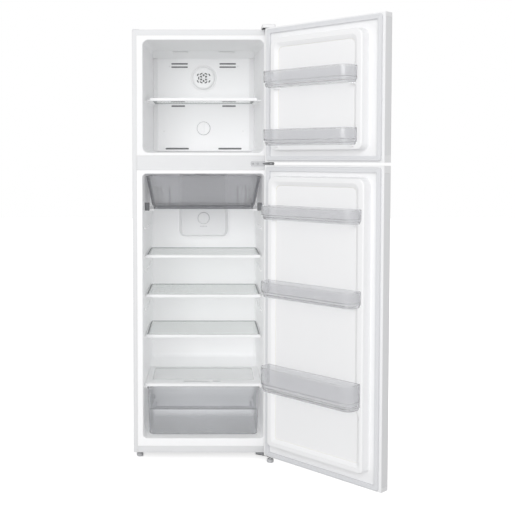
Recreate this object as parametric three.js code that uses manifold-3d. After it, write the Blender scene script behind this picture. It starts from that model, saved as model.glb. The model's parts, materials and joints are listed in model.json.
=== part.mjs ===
// Top freezer refrigerator: two doors, hinged on the right, over a foamed cabinet with two compartments.
//
// Millimetres, +X to the right, +Y to the back, +Z up. The origin is the centre of the right front foot's
// underside, which is where the doors' common hinge axis meets the floor.
// Cabinet pieces are drawn in cabinet coordinates: X = 0 on the centre line, Y = 0 on the front plane, Z = 0
// on the floor. Door pieces are drawn closed, in hinge coordinates: the Z axis is the hinge axis and a closed
// door runs from it towards -X. At rest both doors stand open by OPEN_ANGLE.
import * as THREE from "three";
import { mergeVertices } from "three/addons/utils/BufferGeometryUtils.js";
import Module from "manifold-3d";

const wasm = await Module();
wasm.setup();

// ---------- Driving dimensions ----------

// Cabinet
const CABINET_WIDTH = 550;
const CABINET_DEPTH = 525;
const CABINET_TOP = 1678;
const CABINET_BOTTOM = 26;
const STEEL = 1; // skins and folded plates
const LINER = 2; // vacuum formed liners
const PLATE = 3; // hinge plates
const GAP = 0.3; // between pieces that touch
const RUNNING = 0.6; // round a pin, a stem or a sliding piece
const SIDE_FLANGE = 17; // turned-in front edge of the side panels
const TOP_FLANGE = 22;
const MULLION_LOW = CABINET_TOP - 541; // strip between the two compartments
const MULLION_HIGH = MULLION_LOW + 56;
const RAIL_HIGH = 52;
const PANEL_INSET = 1.5; // back panel in from the side panels' rear edges

// Compartments
const FREEZER = {
  half: 234,
  low: MULLION_HIGH + 12,
  high: CABINET_TOP - 40,
  backHalf: 217,
  backLow: MULLION_HIGH + 19,
  depth: 460,
  corner: 22,
  fillet: 14,
};
const FRIDGE = {
  half: 236,
  low: 82,
  high: MULLION_LOW - 14,
  backHalf: 229,
  backLow: 82,
  depth: 455,
  corner: 15,
  fillet: 12,
};
const STEP_FRONT = 350; // step of the fresh food liner over the compressor
const STEP_HEIGHT = 273;
const STEP_SLOPE = 0.314;
const MACHINE_ROOM = { front: 392, high: 225 };

// Freezer fittings
const COVER_FACE = 400; // front face of the evaporator cover
const COVER_HALF = 197;
const COVER_EDGE_HALF = 214;
const COVER_EDGE_FACE = 412;
const COVER_HIGH = FREEZER.high - 26;
const COVER_TOP_FACE = 338;
const COVER_WALL = 2.5;
const FAN_HEIGHT = FREEZER.high - 111;
const FAN_CAP_RADIUS = 47;
const FAN_RING_RADIUS = 55;
const FAN_RADIUS = 36;
const FAN_BLADES = 5;
const FREEZER_KNOB = { height: FREEZER.low + 107, radius: 27.5, depth: 12 };
const FREEZER_SHELF = { half: 213, front: 100, back: 392, top: FREEZER.low + 216, glass: 4 };
const HIGH_SLOTS = { inner: 68, outer: 139, lows: [FREEZER.high - 52, FREEZER.high - 66], height: 6 };
const MIDDLE_SLOTS = { inner: 80, outer: 139, lows: [FREEZER.low + 220, FREEZER.low + 200], height: 6 };
const LOW_SLOTS = { inner: 64, outer: 164, lows: [FREEZER.low + 16], height: 7 };
const CEILING_SLOTS = { inner: 67, outer: 136, lows: [COVER_HIGH - 5], height: 36 };

// Fresh food fittings
const DUCT_SLOTS = { inner: 18, outer: 46, lows: [FRIDGE.high - 27], height: 6 };
const SIDE_VENTS = { half: 200, front: 22, back: 30, drops: [243, 143, 63], height: 24 };

const SHELF = { half: 228, front: 100, back: 425, glass: 4, trimHeight: 12, trimDepth: 14 };
const LEDGE = { width: 12, height: 6 };
const CHILLER = {
  topHalf: 231,
  bottomHalf: 203,
  low: FRIDGE.high - 143,
  high: FRIDGE.high - 10,
  front: 100,
  back: 392,
  wall: 2.5,
  taper: 5,
};
const CHILLER_CLIP = { inner: 216, depth: 12, high: CHILLER.low + 26 };
const CRISPER = {
  topHalf: 223,
  bottomHalf: 216,
  low: 84,
  high: 272,
  front: 40,
  topFront: 58,
  back: 318,
  wall: 2.5,
};
const CRISPER_TOP_BACK = 344;
const SCOOP = { half: 212, innerHalf: 185, height: 186, depth: 34 };
const CRISPER_COVER = { half: 230, front: 56, back: 346, low: 274, high: 287, band: 60, side: 24 };
const DUCT = { half: 96, backHalf: 107, low: heightAboveCrisper(0.8124), face: 400, wall: 2.5, corner: 17 };
const FRIDGE_KNOB = { height: heightAboveCrisper(0.9192), radius: 24, depth: 10 };
const SHELF_HEIGHTS = [0.7316, 0.5007, 0.2655].map(heightAboveCrisper);
const SPARE_LEDGES = [0.8903, 0.6465, 0.4156].map(heightAboveCrisper);
const SLIDER_SLOT = { low: -83, high: 71, y: 92, depth: 10 };
const SLIDER = { x: 31.5, width: 15, depth: 8 };

// Doors
const DOOR_WIDTH = 545;
const DOOR_BODY = 45; // thickness without the inner plug
const DOOR_STANDOFF = 12; // from the cabinet's front plane to the door's back
const HINGE_INSET = 14; // hinge axis in from the door's side
const HINGE_REACH = 33.5; // hinge axis ahead of the cabinet's front plane
const OPEN_ANGLE = 134;
const DOOR_EDGE_RADIUS = 8;
const PLUG_HEIGHT = 40; // how far the inner plug stands from the door's back
const PLUG_CORNER = 16;
const RECESS = { rim: 15, slope: 12, depth: 10 };
const GASKET = { margin: 8, hingeMargin: 15, width: 17, clearance: 0.5 };
const BIN = { reach: 67, wall: 2.2, corner: 35, backCorner: 3, drop: 9 };
const BIN_LUG = { width: 16, depth: 12, height: 5 };
const GRIP = { radius: 16, width: 140, fromFreeEdge: 34 };
const PIN_RADIUS = 4;
const PIN_DEPTH = 12;

const FREEZER_DOOR = {
  name: "freezer_door",
  low: MULLION_HIGH - 25,
  high: CABINET_TOP - 1,
  lowCap: 25,
  highCap: 16,
  grip: "low",
  plug: { hinge: 52, free: 458, low: FREEZER.low + 12, high: FREEZER.high - 14, spread: 14, spreadHigh: 8 },
  bins: [
    { name: "freezer_bin_lower", low: FREEZER.low + 25, high: FREEZER.low + 84, hinge: 55, free: 447 },
    { name: "freezer_bin_upper", low: FREEZER.low + 238, high: FREEZER.low + 297, hinge: 55, free: 447 },
  ],
};
const MIDDLE_BIN_LOW = heightAboveCrisper(0.5498);
const FRIDGE_DOOR = {
  name: "fridge_door",
  low: 28,
  high: MULLION_LOW + 20,
  lowCap: 16,
  highCap: 25,
  grip: "high",
  plug: { hinge: 42, free: 470, low: 92, high: FRIDGE.high - 12, spread: 14, spreadHigh: 7 },
  bins: [
    { name: "fridge_bin_bottom", low: 312, high: 405, hinge: 46, free: 469 },
    { name: "fridge_bin_middle", low: MIDDLE_BIN_LOW, high: MIDDLE_BIN_LOW + 58, hinge: 46, free: 469 },
    { name: "fridge_bin_top", low: FRIDGE.high - 166, high: FRIDGE.high - 115, hinge: 46, free: 469 },
  ],
};

// Hinges and feet
const MIDDLE_HINGE = { from: 184, low: MULLION_LOW + 16, high: MULLION_LOW + 34, leafWidth: 42, tip: 12 };
const TOP_HINGE = { from: 230, back: 46, tip: 11 };
const HINGE_COVER = { from: 224.5, back: 58, front: -47, height: 14, wall: 1.5 };
const BOTTOM_HINGE = { from: 205, back: 60, tip: 13, low: 21.4 };
const CORNER_CAP = { width: 26, depth: 28, height: 2 };
const FOOT = { radius: 13.5, height: 13, stem: 5 };
const LEFT_FOOT = { x: -252, y: 40 };

// Cooling and rear end
const COIL = {
  half: 165,
  low: FREEZER.low + 20,
  high: FREEZER.low + 215,
  front: 410,
  back: 440,
  fins: 8,
  tubes: 2,
};
const COMPRESSOR = { x: -40, y: 455, radius: 56, height: 130, foot: 4 };
const TRAY = { half: 100, front: 400, back: 515, low: 178, high: 205, wall: 2 };
const BAR = { front: 396, back: 518, thick: 2 };
const ROLLER = { x: 235, y: 485, radius: 12, width: 14, axle: 3 };
const LAMP = { half: 32, front: 60, back: 90, height: 5 };

// A share of the height between the crisper's cover and the chiller drawer, in whole millimetres.
function heightAboveCrisper(share) {
  return Math.round(CRISPER_COVER.high + share * (CHILLER.low - CRISPER_COVER.high));
}

const CURVE_STEPS = 4;
const ROUND_SIDES = 20;
const DOOR_BACK = HINGE_REACH - DOOR_STANDOFF; // the door's back face, in hinge coordinates
const DOOR_FRONT = DOOR_BACK - DOOR_BODY;
const HINGE_X = CABINET_WIDTH / 2 - HINGE_INSET;

// ---------- Solids ----------

// A closed three.js geometry as a solid that can be joined and cut.
function solid(geometry) {
  const source = geometry.index ? geometry.toNonIndexed() : geometry;
  const bare = new THREE.BufferGeometry().setAttribute("position", source.getAttribute("position"));
  const merged = mergeVertices(bare, 1e-3);
  const triVerts = new Uint32Array(merged.index.array);
  return new wasm.Manifold(
    new wasm.Mesh({ numProp: 3, vertProperties: merged.attributes.position.array, triVerts }),
  );
}

function geometryOf(shape) {
  const mesh = shape.getMesh();
  const indexed = new THREE.BufferGeometry();
  indexed.setAttribute("position", new THREE.BufferAttribute(mesh.vertProperties, 3));
  indexed.setIndex(new THREE.BufferAttribute(mesh.triVerts, 1));
  const geometry = indexed.toNonIndexed();
  geometry.computeVertexNormals();
  return geometry;
}

function join(...shapes) {
  return shapes.reduce((whole, shape) => whole.add(shape));
}

function cut(shape, ...cutters) {
  return cutters.reduce((left, cutter) => left.subtract(cutter), shape);
}

// A box given by its low and high limits on each axis.
function box([x0, x1], [y0, y1], [z0, z1]) {
  const geometry = new THREE.BoxGeometry(x1 - x0, y1 - y0, z1 - z0);
  geometry.translate((x0 + x1) / 2, (y0 + y1) / 2, (z0 + z1) / 2);
  return solid(geometry);
}

// An outline of [u, v] points carried along an axis. The outline is (Y, Z) along X, (X, Z) along Y and (X, Y)
// along Z.
function prism(axis, outline, from, to) {
  const shape = new THREE.Shape(outline.map(([u, v]) => new THREE.Vector2(u, v)));
  const geometry = new THREE.ExtrudeGeometry(shape, { depth: to - from, bevelEnabled: false });
  const [x, y, z] = [new THREE.Vector3(1, 0, 0), new THREE.Vector3(0, 1, 0), new THREE.Vector3(0, 0, 1)];
  const turn = new THREE.Matrix4();
  if (axis === "x") turn.makeBasis(y, z, x).setPosition(from, 0, 0);
  if (axis === "y") turn.makeBasis(x, z, y.clone().negate()).setPosition(0, to, 0);
  if (axis === "z") turn.makeBasis(x, y, z).setPosition(0, 0, from);
  geometry.applyMatrix4(turn);
  return solid(geometry);
}

function circle(u, v, radius, sides = ROUND_SIDES) {
  return Array.from({ length: sides }, (_, i) => {
    const angle = (2 * Math.PI * i) / sides;
    return [u + radius * Math.cos(angle), v + radius * Math.sin(angle)];
  });
}

// A rectangle with round corners, counterclockwise from the low corner. radii: low-low, high-low, high-high,
// low-high.
function roundedRect([u0, u1], [v0, v1], radii, steps = CURVE_STEPS) {
  const [a, b, c, d] = Array.isArray(radii) ? radii : [radii, radii, radii, radii];
  const corners = [
    [u0 + a, v0 + a, a, Math.PI],
    [u1 - b, v0 + b, b, 1.5 * Math.PI],
    [u1 - c, v1 - c, c, 0],
    [u0 + d, v1 - d, d, 0.5 * Math.PI],
  ];
  return corners.flatMap(([u, v, radius, start]) =>
    Array.from({ length: steps + 1 }, (_, i) => {
      const angle = start + (0.5 * Math.PI * i) / steps;
      return [u + radius * Math.cos(angle), v + radius * Math.sin(angle)];
    }),
  );
}

// A closed solid through rings with the same number of points, flat capped on the first and the last ring.
function loft(rings) {
  const count = rings[0].length;
  const last = (rings.length - 1) * count;
  const index = [];
  for (let start = 0; start < last; start += count) {
    for (let i = 0; i < count; i++) {
      const a = start + i;
      const b = start + ((i + 1) % count);
      index.push(a, b, b + count, a, b + count, a + count);
    }
  }
  for (let i = 1; i + 1 < count; i++) {
    index.push(0, i + 1, i);
    index.push(last, last + i, last + i + 1);
  }
  const geometry = new THREE.BufferGeometry();
  geometry.setAttribute("position", new THREE.Float32BufferAttribute(rings.flat(2), 3));
  geometry.setIndex(index);
  const shape = solid(geometry);
  if (shape.volume() > 0) return shape;
  geometry.setIndex(index.reverse());
  return solid(geometry);
}

// A ring of points from an (X, Z) outline at depth y, or from an (X, Y) outline at height z.
const ringAtDepth = (outline, y) => outline.map(([x, z]) => [x, y, z]);
const ringAtHeight = (outline, z) => outline.map(([x, y]) => [x, y, z]);

// A turned solid: [radius, height] points round the Z axis, set at x, y.
function turned(profile, x, y) {
  const geometry = new THREE.LatheGeometry(
    profile.map(([radius, height]) => new THREE.Vector2(radius, height)),
    ROUND_SIDES,
  );
  geometry.rotateX(Math.PI / 2);
  geometry.translate(x, y, 0);
  const shape = solid(geometry);
  return shape.volume() > 0 ? shape : solid(flipped(geometry));
}

function flipped(geometry) {
  const copy = geometry.clone();
  copy.setIndex(Array.from(geometry.index.array).reverse());
  return copy;
}

// ---------- Finishes ----------

function finish(color, roughness, metalness, opacity = 1) {
  return new THREE.MeshStandardMaterial({ color, roughness, metalness, opacity, transparent: opacity < 1 });
}

const WHITE_PAINT = finish(0xe9eaec, 0.35, 0);
const WHITE_LINER = finish(0xeeeff1, 0.3, 0);
const WHITE_PLASTIC = finish(0xe6e7ea, 0.4, 0);
const GASKET_VINYL = finish(0xdfe0e3, 0.6, 0);
const FOAM = finish(0xe8dcb4, 0.9, 0);
const CLEAR_PLASTIC = finish(0xb8b8be, 0.15, 0, 0.55);
const GLASS = finish(0xdfe8e6, 0.05, 0, 0.3);
const ZINC = finish(0xb9bbbf, 0.4, 0.9);
const GREY_PLASTIC = finish(0x8c8d92, 0.5, 0);
const DARK_PAINT = finish(0x2c2d30, 0.5, 0.2);
const ALUMINIUM = finish(0xc4c6c9, 0.4, 0.9);
const RUBBER = finish(0x3a3a3c, 0.8, 0);

function addPiece(parent, name, shape, material) {
  const mesh = new THREE.Mesh(geometryOf(shape), material);
  mesh.name = name;
  parent.add(mesh);
}

// ---------- Compartments ----------

// The space inside a compartment, larger by grow on every side, from depth y on: a tapering box with round
// corners and a filleted back.
function compartment(space, grow, from) {
  const outline = (half, low, inset) =>
    roundedRect(
      [-half - grow + inset, half + grow - inset],
      [low - grow + inset, space.high + grow - inset],
      space.corner + grow,
    );
  const radius = space.fillet + grow;
  const rings = [ringAtDepth(outline(space.half, space.low, 0), from)];
  if (from < 0) rings.push(ringAtDepth(outline(space.half, space.low, 0), 0));
  for (let i = 0; i <= 2; i++) {
    const angle = (i / 2) * (Math.PI / 2);
    const y = space.depth + grow - radius * (1 - Math.sin(angle));
    rings.push(ringAtDepth(outline(space.backHalf, space.backLow, radius * (1 - Math.cos(angle))), y));
  }
  return loft(rings);
}

// The block under the fresh food compartment's step, smaller by grow.
function compressorStep(grow) {
  const front = STEP_FRONT + grow;
  const back = FRIDGE.depth + 40;
  const lower = grow * Math.hypot(1, STEP_SLOPE);
  const top = (y) => STEP_HEIGHT + (y - STEP_FRONT) * STEP_SLOPE - lower;
  const low = FRIDGE.low - 20;
  const outline = [[front, low], [back, low], [back, top(back)], [front, top(front)]];
  return prism("x", outline, -CABINET_WIDTH / 2, CABINET_WIDTH / 2);
}

const freezerSpace = (grow, from = -5) => compartment(FREEZER, grow, from);
const fridgeSpace = (grow, from = -5) => cut(compartment(FRIDGE, grow, from), compressorStep(grow));

// A pair of ledges on the two side walls, from the wall to x = inner.
function ledges(inner, depths, heights) {
  const wall = CABINET_WIDTH / 2;
  return [box([inner, wall], depths, heights), box([-wall, -inner], depths, heights)];
}

function freezerLiner() {
  const outer = freezerSpace(LINER, GAP);
  const half = CABINET_WIDTH / 2 - SIDE_FLANGE - GAP;
  const flange = box([-half, half], [GAP, GAP + LINER], [MULLION_HIGH + GAP, CABINET_TOP - TOP_FLANGE - GAP]);
  const underShelf = FREEZER_SHELF.top - FREEZER_SHELF.glass - GAP;
  const shelfLedges = ledges(
    FREEZER_SHELF.half - 6,
    [FREEZER_SHELF.front + SHELF.trimDepth + GAP, FREEZER_SHELF.back],
    [underShelf - LEDGE.height, underShelf],
  ).map((ledge) => ledge.intersect(outer));
  return join(cut(join(outer, flange), freezerSpace(0)), ...shelfLedges);
}

function fridgeLiner() {
  const outer = fridgeSpace(LINER, GAP);
  const half = CABINET_WIDTH / 2 - SIDE_FLANGE - GAP;
  const flange = box([-half, half], [GAP, GAP + LINER], [RAIL_HIGH + GAP, MULLION_LOW - GAP]);
  const shelfLedges = SHELF_HEIGHTS.flatMap((top) => {
    const under = top - SHELF.glass - GAP;
    const inner = SHELF.half - LEDGE.width / 2;
    return ledges(inner, [SHELF.front + SHELF.trimDepth + GAP, SHELF.back], [under - LEDGE.height, under]);
  });
  const spareLedges = SPARE_LEDGES.flatMap((height) =>
    ledges(SHELF.half, [SHELF.front + 4, SHELF.back], [height - LEDGE.height, height]),
  );
  const railTop = CHILLER.low - GAP;
  const railDepths = [CHILLER.front - 2, CHILLER.back];
  const railHeights = [railTop - LEDGE.height, railTop];
  const chillerRails = ledges(CHILLER.bottomHalf - 6, railDepths, railHeights);
  const chillerClips = ledges(
    CHILLER_CLIP.inner,
    [CHILLER.front - 2, CHILLER.front - 2 + CHILLER_CLIP.depth],
    [railTop - 6, CHILLER_CLIP.high],
  );
  const coverUnder = CRISPER_COVER.low - GAP;
  const coverLedges = ledges(
    CRISPER.topHalf + RUNNING,
    [CRISPER_COVER.front + 4, STEP_FRONT + LINER],
    [coverUnder - LEDGE.height, coverUnder],
  );
  const inside = [shelfLedges, spareLedges, chillerRails, chillerClips, coverLedges]
    .flat()
    .map((ledge) => ledge.intersect(outer));
  return join(cut(join(outer, flange), fridgeSpace(0)), ...inside);
}

// ---------- Cabinet ----------

function cabinetShell() {
  const half = CABINET_WIDTH / 2;
  const outer = box([-half, half], [0, CABINET_DEPTH], [CABINET_BOTTOM, CABINET_TOP]);
  const inner = box(
    [-half + STEEL, half - STEEL],
    [STEEL, CABINET_DEPTH + 1],
    [CABINET_BOTTOM - 1, CABINET_TOP - STEEL],
  );
  const mouth = box(
    [-half + SIDE_FLANGE, half - SIDE_FLANGE],
    [-1, STEEL + 1],
    [CABINET_BOTTOM - 1, CABINET_TOP - TOP_FLANGE],
  );
  return cut(outer, inner, mouth);
}

// The floor of the cabinet and the machine room's front and roof, folded from one sheet.
function basePlate() {
  const { front, high } = MACHINE_ROOM;
  const back = CABINET_DEPTH - PANEL_INSET - STEEL;
  const low = CABINET_BOTTOM;
  const outline = [
    [STEEL + 3, low],
    [front + STEEL, low],
    [front + STEEL, high - STEEL],
    [back, high - STEEL],
    [back, high],
    [front, high],
    [front, low + STEEL],
    [STEEL + 3, low + STEEL],
  ];
  const half = CABINET_WIDTH / 2 - STEEL - GAP;
  return prism("x", outline, -half, half);
}

function backPanel() {
  const half = CABINET_WIDTH / 2 - STEEL - GAP;
  const back = CABINET_DEPTH - PANEL_INSET;
  return box([-half, half], [back - STEEL, back], [MACHINE_ROOM.high + GAP, CABINET_TOP - STEEL - GAP]);
}

function cabinetFoam() {
  const half = CABINET_WIDTH / 2 - STEEL - GAP;
  const low = CABINET_BOTTOM + STEEL + GAP;
  const back = CABINET_DEPTH - PANEL_INSET - STEEL - GAP;
  const block = box([-half, half], [STEEL + 3, back], [low, CABINET_TOP - STEEL - GAP]);
  const machineRoom = box(
    [-half - 1, half + 1],
    [MACHINE_ROOM.front - GAP, CABINET_DEPTH],
    [low - 1, MACHINE_ROOM.high + GAP],
  );
  return cut(block, machineRoom, freezerSpace(LINER + GAP), fridgeSpace(LINER + GAP));
}

function mullion() {
  const half = CABINET_WIDTH / 2 - SIDE_FLANGE - GAP;
  return box([-half, half], [0, STEEL + 2], [MULLION_LOW, MULLION_HIGH]);
}

function bottomRail() {
  const half = CABINET_WIDTH / 2 - SIDE_FLANGE - GAP;
  return box([-half, half], [0, STEEL + 2], [CABINET_BOTTOM, RAIL_HIGH]);
}

// ---------- Machine room ----------

// The bar that carries the compressor, with an ear on each side of both rollers and the axle between them.
function compressorBar() {
  const half = CABINET_WIDTH / 2 - STEEL - GAP;
  const low = CABINET_BOTTOM;
  const plate = box([-half, half], [BAR.front, BAR.back], [low, low + BAR.thick]);
  const rib = box([-half, half], [BAR.back - BAR.thick, BAR.back], [low, low + 12]);
  const ears = [-ROLLER.x, ROLLER.x].flatMap((x) => {
    const reach = ROLLER.width / 2 + RUNNING;
    const outline = [
      [ROLLER.y - 10, low + 1],
      [ROLLER.y - 5, ROLLER.radius - 6],
      [ROLLER.y + 5, ROLLER.radius - 6],
      [ROLLER.y + 10, low + 1],
    ];
    return [
      prism("x", outline, x - reach - 2, x - reach),
      prism("x", outline, x + reach, x + reach + 2),
      prism("x", circle(ROLLER.y, ROLLER.radius, ROLLER.axle, 12), x - reach - 1, x + reach + 1),
    ];
  });
  return join(plate, rib, ...ears);
}

function roller(x) {
  const { y, radius, width, axle } = ROLLER;
  const wheel = prism("x", circle(y, radius, radius, 24), x - width / 2, x + width / 2);
  const bore = prism("x", circle(y, radius, axle + RUNNING, 12), x - width, x + width);
  return cut(wheel, bore);
}

function compressor() {
  const { x, y, radius, height, foot } = COMPRESSOR;
  const low = CABINET_BOTTOM + BAR.thick + GAP;
  const base = box([x - 95, x + 95], [y - 40, y + 40], [low, low + foot]);
  const dome = 30;
  const profile = [[0, low + 1], [radius - 14, low + 1], [radius, low + 22], [radius, low + height - dome]];
  for (let i = 1; i <= CURVE_STEPS; i++) {
    const angle = (i / CURVE_STEPS) * (Math.PI / 2);
    const across = i === CURVE_STEPS ? 0 : radius * Math.cos(angle);
    profile.push([across, low + height - dome + dome * Math.sin(angle)]);
  }
  const terminals = box([x + radius - 6, x + radius + 22], [y - 22, y + 22], [low + 45, low + 95]);
  return join(turned(profile, x, y), base, terminals);
}

function dripTray() {
  const { half, front, back, low, high, wall } = TRAY;
  const x = COMPRESSOR.x;
  const outer = box([x - half, x + half], [front, back], [low, high]);
  const inner = box([x - half + wall, x + half - wall], [front + wall, back - wall], [low + wall, high + 1]);
  return cut(outer, inner);
}

// ---------- Freezer fittings ----------

// A pair of slots, mirrored about the centre line, from the inner to the outer distance.
// Slots cut on both sides of the centre line, one pair for each low edge.
function slotPairs({ inner, outer, lows, height }, depths) {
  return lows.flatMap((low) => [
    box([inner, outer], depths, [low, low + height]),
    box([-outer, -inner], depths, [low, low + height]),
  ]);
}

function evaporatorCover() {
  const back = FREEZER.depth;
  const floor = FREEZER.low - 5;
  const plan = (wall) => [
    [-COVER_EDGE_HALF + wall, back + 1],
    [-COVER_EDGE_HALF + wall, COVER_EDGE_FACE + wall],
    [-COVER_HALF + wall / 2, COVER_FACE + wall],
    [COVER_HALF - wall / 2, COVER_FACE + wall],
    [COVER_EDGE_HALF - wall, COVER_EDGE_FACE + wall],
    [COVER_EDGE_HALF - wall, back + 1],
  ];
  const tray = cut(
    prism("z", plan(0), floor, COVER_HIGH),
    prism("z", plan(COVER_WALL), floor - 1, COVER_HIGH - COVER_WALL),
  );
  const strip = prism(
    "x",
    [
      [COVER_TOP_FACE, FREEZER.high + 2],
      [COVER_TOP_FACE, FREEZER.high - 1],
      [COVER_FACE, COVER_HIGH - COVER_WALL],
      [COVER_FACE + 2 * COVER_WALL, COVER_HIGH - COVER_WALL],
      [COVER_FACE + 2 * COVER_WALL, COVER_HIGH],
      [COVER_FACE, COVER_HIGH + COVER_WALL / 2],
      [COVER_TOP_FACE + 4, FREEZER.high + 2],
    ],
    -FREEZER.half,
    FREEZER.half,
  );
  const ring = prism("y", circle(0, FAN_HEIGHT, FAN_RING_RADIUS, 28), COVER_FACE - 4, COVER_FACE + 1);
  const through = [COVER_FACE - 10, COVER_FACE + 10];
  const slots = [
    slotPairs(HIGH_SLOTS, through),
    slotPairs(MIDDLE_SLOTS, through),
    slotPairs(LOW_SLOTS, through),
    slotPairs(CEILING_SLOTS, [COVER_TOP_FACE + 4, COVER_TOP_FACE + 14]),
  ].flat();
  const fanHole = prism("y", circle(0, FAN_HEIGHT, FAN_RADIUS + 4, 28), COVER_FACE - 20, COVER_FACE + 20);
  const knobOutline = circle(0, FREEZER_KNOB.height, 6 + RUNNING, 16);
  const knobHole = prism("y", knobOutline, COVER_FACE - 5, COVER_FACE + 20);
  return cut(join(tray, strip, ring).intersect(freezerSpace(-GAP)), ...slots, fanHole, knobHole);
}

// Round cap with radial vents in front of the fan.
function fanCap() {
  const front = COVER_FACE - 10;
  const back = COVER_FACE - 4 - GAP;
  const disc = prism("y", circle(0, FAN_HEIGHT, FAN_CAP_RADIUS, 28), front, back);
  const vents = Array.from({ length: 6 }, (_, i) => {
    const angle = (i / 6) * 2 * Math.PI + Math.PI / 6;
    const along = [Math.cos(angle), Math.sin(angle)];
    const point = (r, side) => [r * along[0] - side * along[1], FAN_HEIGHT + r * along[1] + side * along[0]];
    return prism("y", [point(9, -3), point(28, -9), point(28, 9), point(9, 3)], front - 1, back + 1);
  });
  return cut(disc, ...vents);
}

function fanMotor() {
  const can = prism("y", circle(0, FAN_HEIGHT, 24), 428, FREEZER.depth - 3);
  const bracket = box([-70, 70], [440, 444], [FAN_HEIGHT - 10, FAN_HEIGHT + 10]);
  const shaft = prism("y", circle(0, FAN_HEIGHT, 2.5, 10), 412, 430);
  return join(can, bracket, shaft);
}

function fanRotor() {
  const hub = prism("y", circle(0, FAN_HEIGHT, 12, 20), 410, 424);
  const blades = Array.from({ length: FAN_BLADES }, (_, i) => {
    const blade = solid(new THREE.BoxGeometry(FAN_RADIUS - 9, 2, 16).translate(FAN_RADIUS / 2 + 4, 0, 0));
    return blade.rotate([35, 0, 0]).rotate([0, (i * 360) / FAN_BLADES, 0]).translate([0, 417, FAN_HEIGHT]);
  });
  const bore = prism("y", circle(0, FAN_HEIGHT, 2.5 + RUNNING, 10), 411, 426);
  return cut(join(hub, ...blades), bore);
}

// A round knob with a grip bar on its face and a stem to the back.
function knob(radius, height, face, depth, stemLength) {
  const back = face - GAP;
  const front = face - depth;
  const sides = 24;
  const disc = loft([
    ringAtDepth(circle(0, height, radius - 2, sides), front),
    ringAtDepth(circle(0, height, radius, sides), front + 2),
    ringAtDepth(circle(0, height, radius, sides), back),
  ]);
  const bar = box([-3, 3], [front - 4, front + 1], [height - radius * 0.75, height + radius * 0.75]);
  const stem = prism("y", circle(0, height, 6, 16), back - 1, face + stemLength);
  return join(disc, bar, stem);
}

function evaporatorCoil() {
  const { half, low, high, front, back, fins, tubes } = COIL;
  const plates = Array.from({ length: fins }, (_, i) => {
    const x = -half + 10 + (i / (fins - 1)) * (2 * half - 20);
    return box([x - 0.5, x + 0.5], [front, back], [low, high]);
  });
  const middle = (front + back) / 2;
  const runs = Array.from({ length: tubes }, (_, i) => {
    const z = low + ((i + 0.5) / tubes) * (high - low);
    return prism("x", circle(middle, z, 4, 8), -half, half);
  });
  return join(...plates, ...runs);
}

// ---------- Shelves ----------

function shelfGlass(half, front, back, top, thick) {
  return prism("z", roundedRect([-half, half], [front, back], 6, 2), top - thick, top);
}

// The front trim is a channel over the glass edge, with a lip that stands above it.
function shelfTrim(half, front, top, thick, height, depth) {
  const trim = box([-half, half], [front, front + depth], [top + 2 - height, top + 2]);
  const groove = box([-half - 1, half + 1], [front + 3, front + depth + 1], [top - thick - GAP, top + GAP]);
  return cut(trim, groove);
}

function addShelf(parent, name, { half, front, back, glass }, top, trimHeight, trimDepth) {
  const shelf = new THREE.Group();
  addPiece(shelf, `${name}_glass`, shelfGlass(half, front + 3 + GAP, back, top, glass), GLASS);
  addPiece(shelf, `${name}_trim`, shelfTrim(half, front, top, glass, trimHeight, trimDepth), WHITE_PLASTIC);
  parent.add(shelf);
}

// ---------- Fresh food fittings ----------

function ductCover() {
  const { half, backHalf, low, face, wall, corner } = DUCT;
  const back = FRIDGE.depth + 5;
  const top = FRIDGE.high + 5;
  const shape = (inset, start) => {
    const outline = (w, spread) =>
      roundedRect([-w + inset, w - inset], [low + inset - spread, top], [corner, corner, 1, 1]);
    return loft([
      ringAtDepth(outline(half, 0), start),
      ringAtDepth(outline(backHalf, 8), back + inset),
    ]);
  };
  const inner = cut(shape(wall, face + wall), box([-200, 200], [face, back + 9], [top - 12, top + 9]));
  const shell = cut(shape(0, face), inner).intersect(fridgeSpace(-GAP));
  const slots = slotPairs(DUCT_SLOTS, [face - 1, face + 20]);
  const sideVents = SIDE_VENTS.drops.map((drop) => {
    const vent = FRIDGE.high - drop;
    const depths = [face + SIDE_VENTS.front, face + SIDE_VENTS.back];
    return box([-SIDE_VENTS.half, SIDE_VENTS.half], depths, [vent, vent + SIDE_VENTS.height]);
  });
  const knobHole = prism("y", circle(0, FRIDGE_KNOB.height, 6 + RUNNING, 16), face - 5, face + 20);
  return cut(shell, ...slots, ...sideVents, knobHole);
}

function lampLens() {
  const { half, front, back, height } = LAMP;
  const top = FRIDGE.high - GAP;
  const outline = (inset) => roundedRect([-half + inset, half - inset], [front + inset, back - inset], 6, 2);
  return loft([ringAtHeight(outline(3), top - height), ringAtHeight(outline(0), top)]);
}

// The chiller drawer: an open tray whose sides lean in towards the bottom and towards the back.
function chillerDrawer() {
  const { topHalf, bottomHalf, low, high, front, back, wall, taper } = CHILLER;
  const lean = (topHalf - bottomHalf) / (high - low);
  const ring = (inset, top, y, narrower) => {
    const bottom = low + inset;
    const half = (z) => bottomHalf - inset - narrower + (z - low) * lean;
    const narrow = half(bottom);
    const wide = half(top);
    return ringAtDepth([[-narrow, bottom], [narrow, bottom], [wide, top], [-wide, top]], y);
  };
  const outer = loft([ring(0, high, front, 0), ring(0, high, back, taper)]);
  const inner = loft([ring(wall, high + 5, front + wall, 0), ring(wall, high + 5, back - wall, taper)]);
  const lip = box([-topHalf - 1, topHalf + 1], [front - 1, front + 6], [high - 5, high]);
  return cut(join(outer, lip), inner);
}

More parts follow.
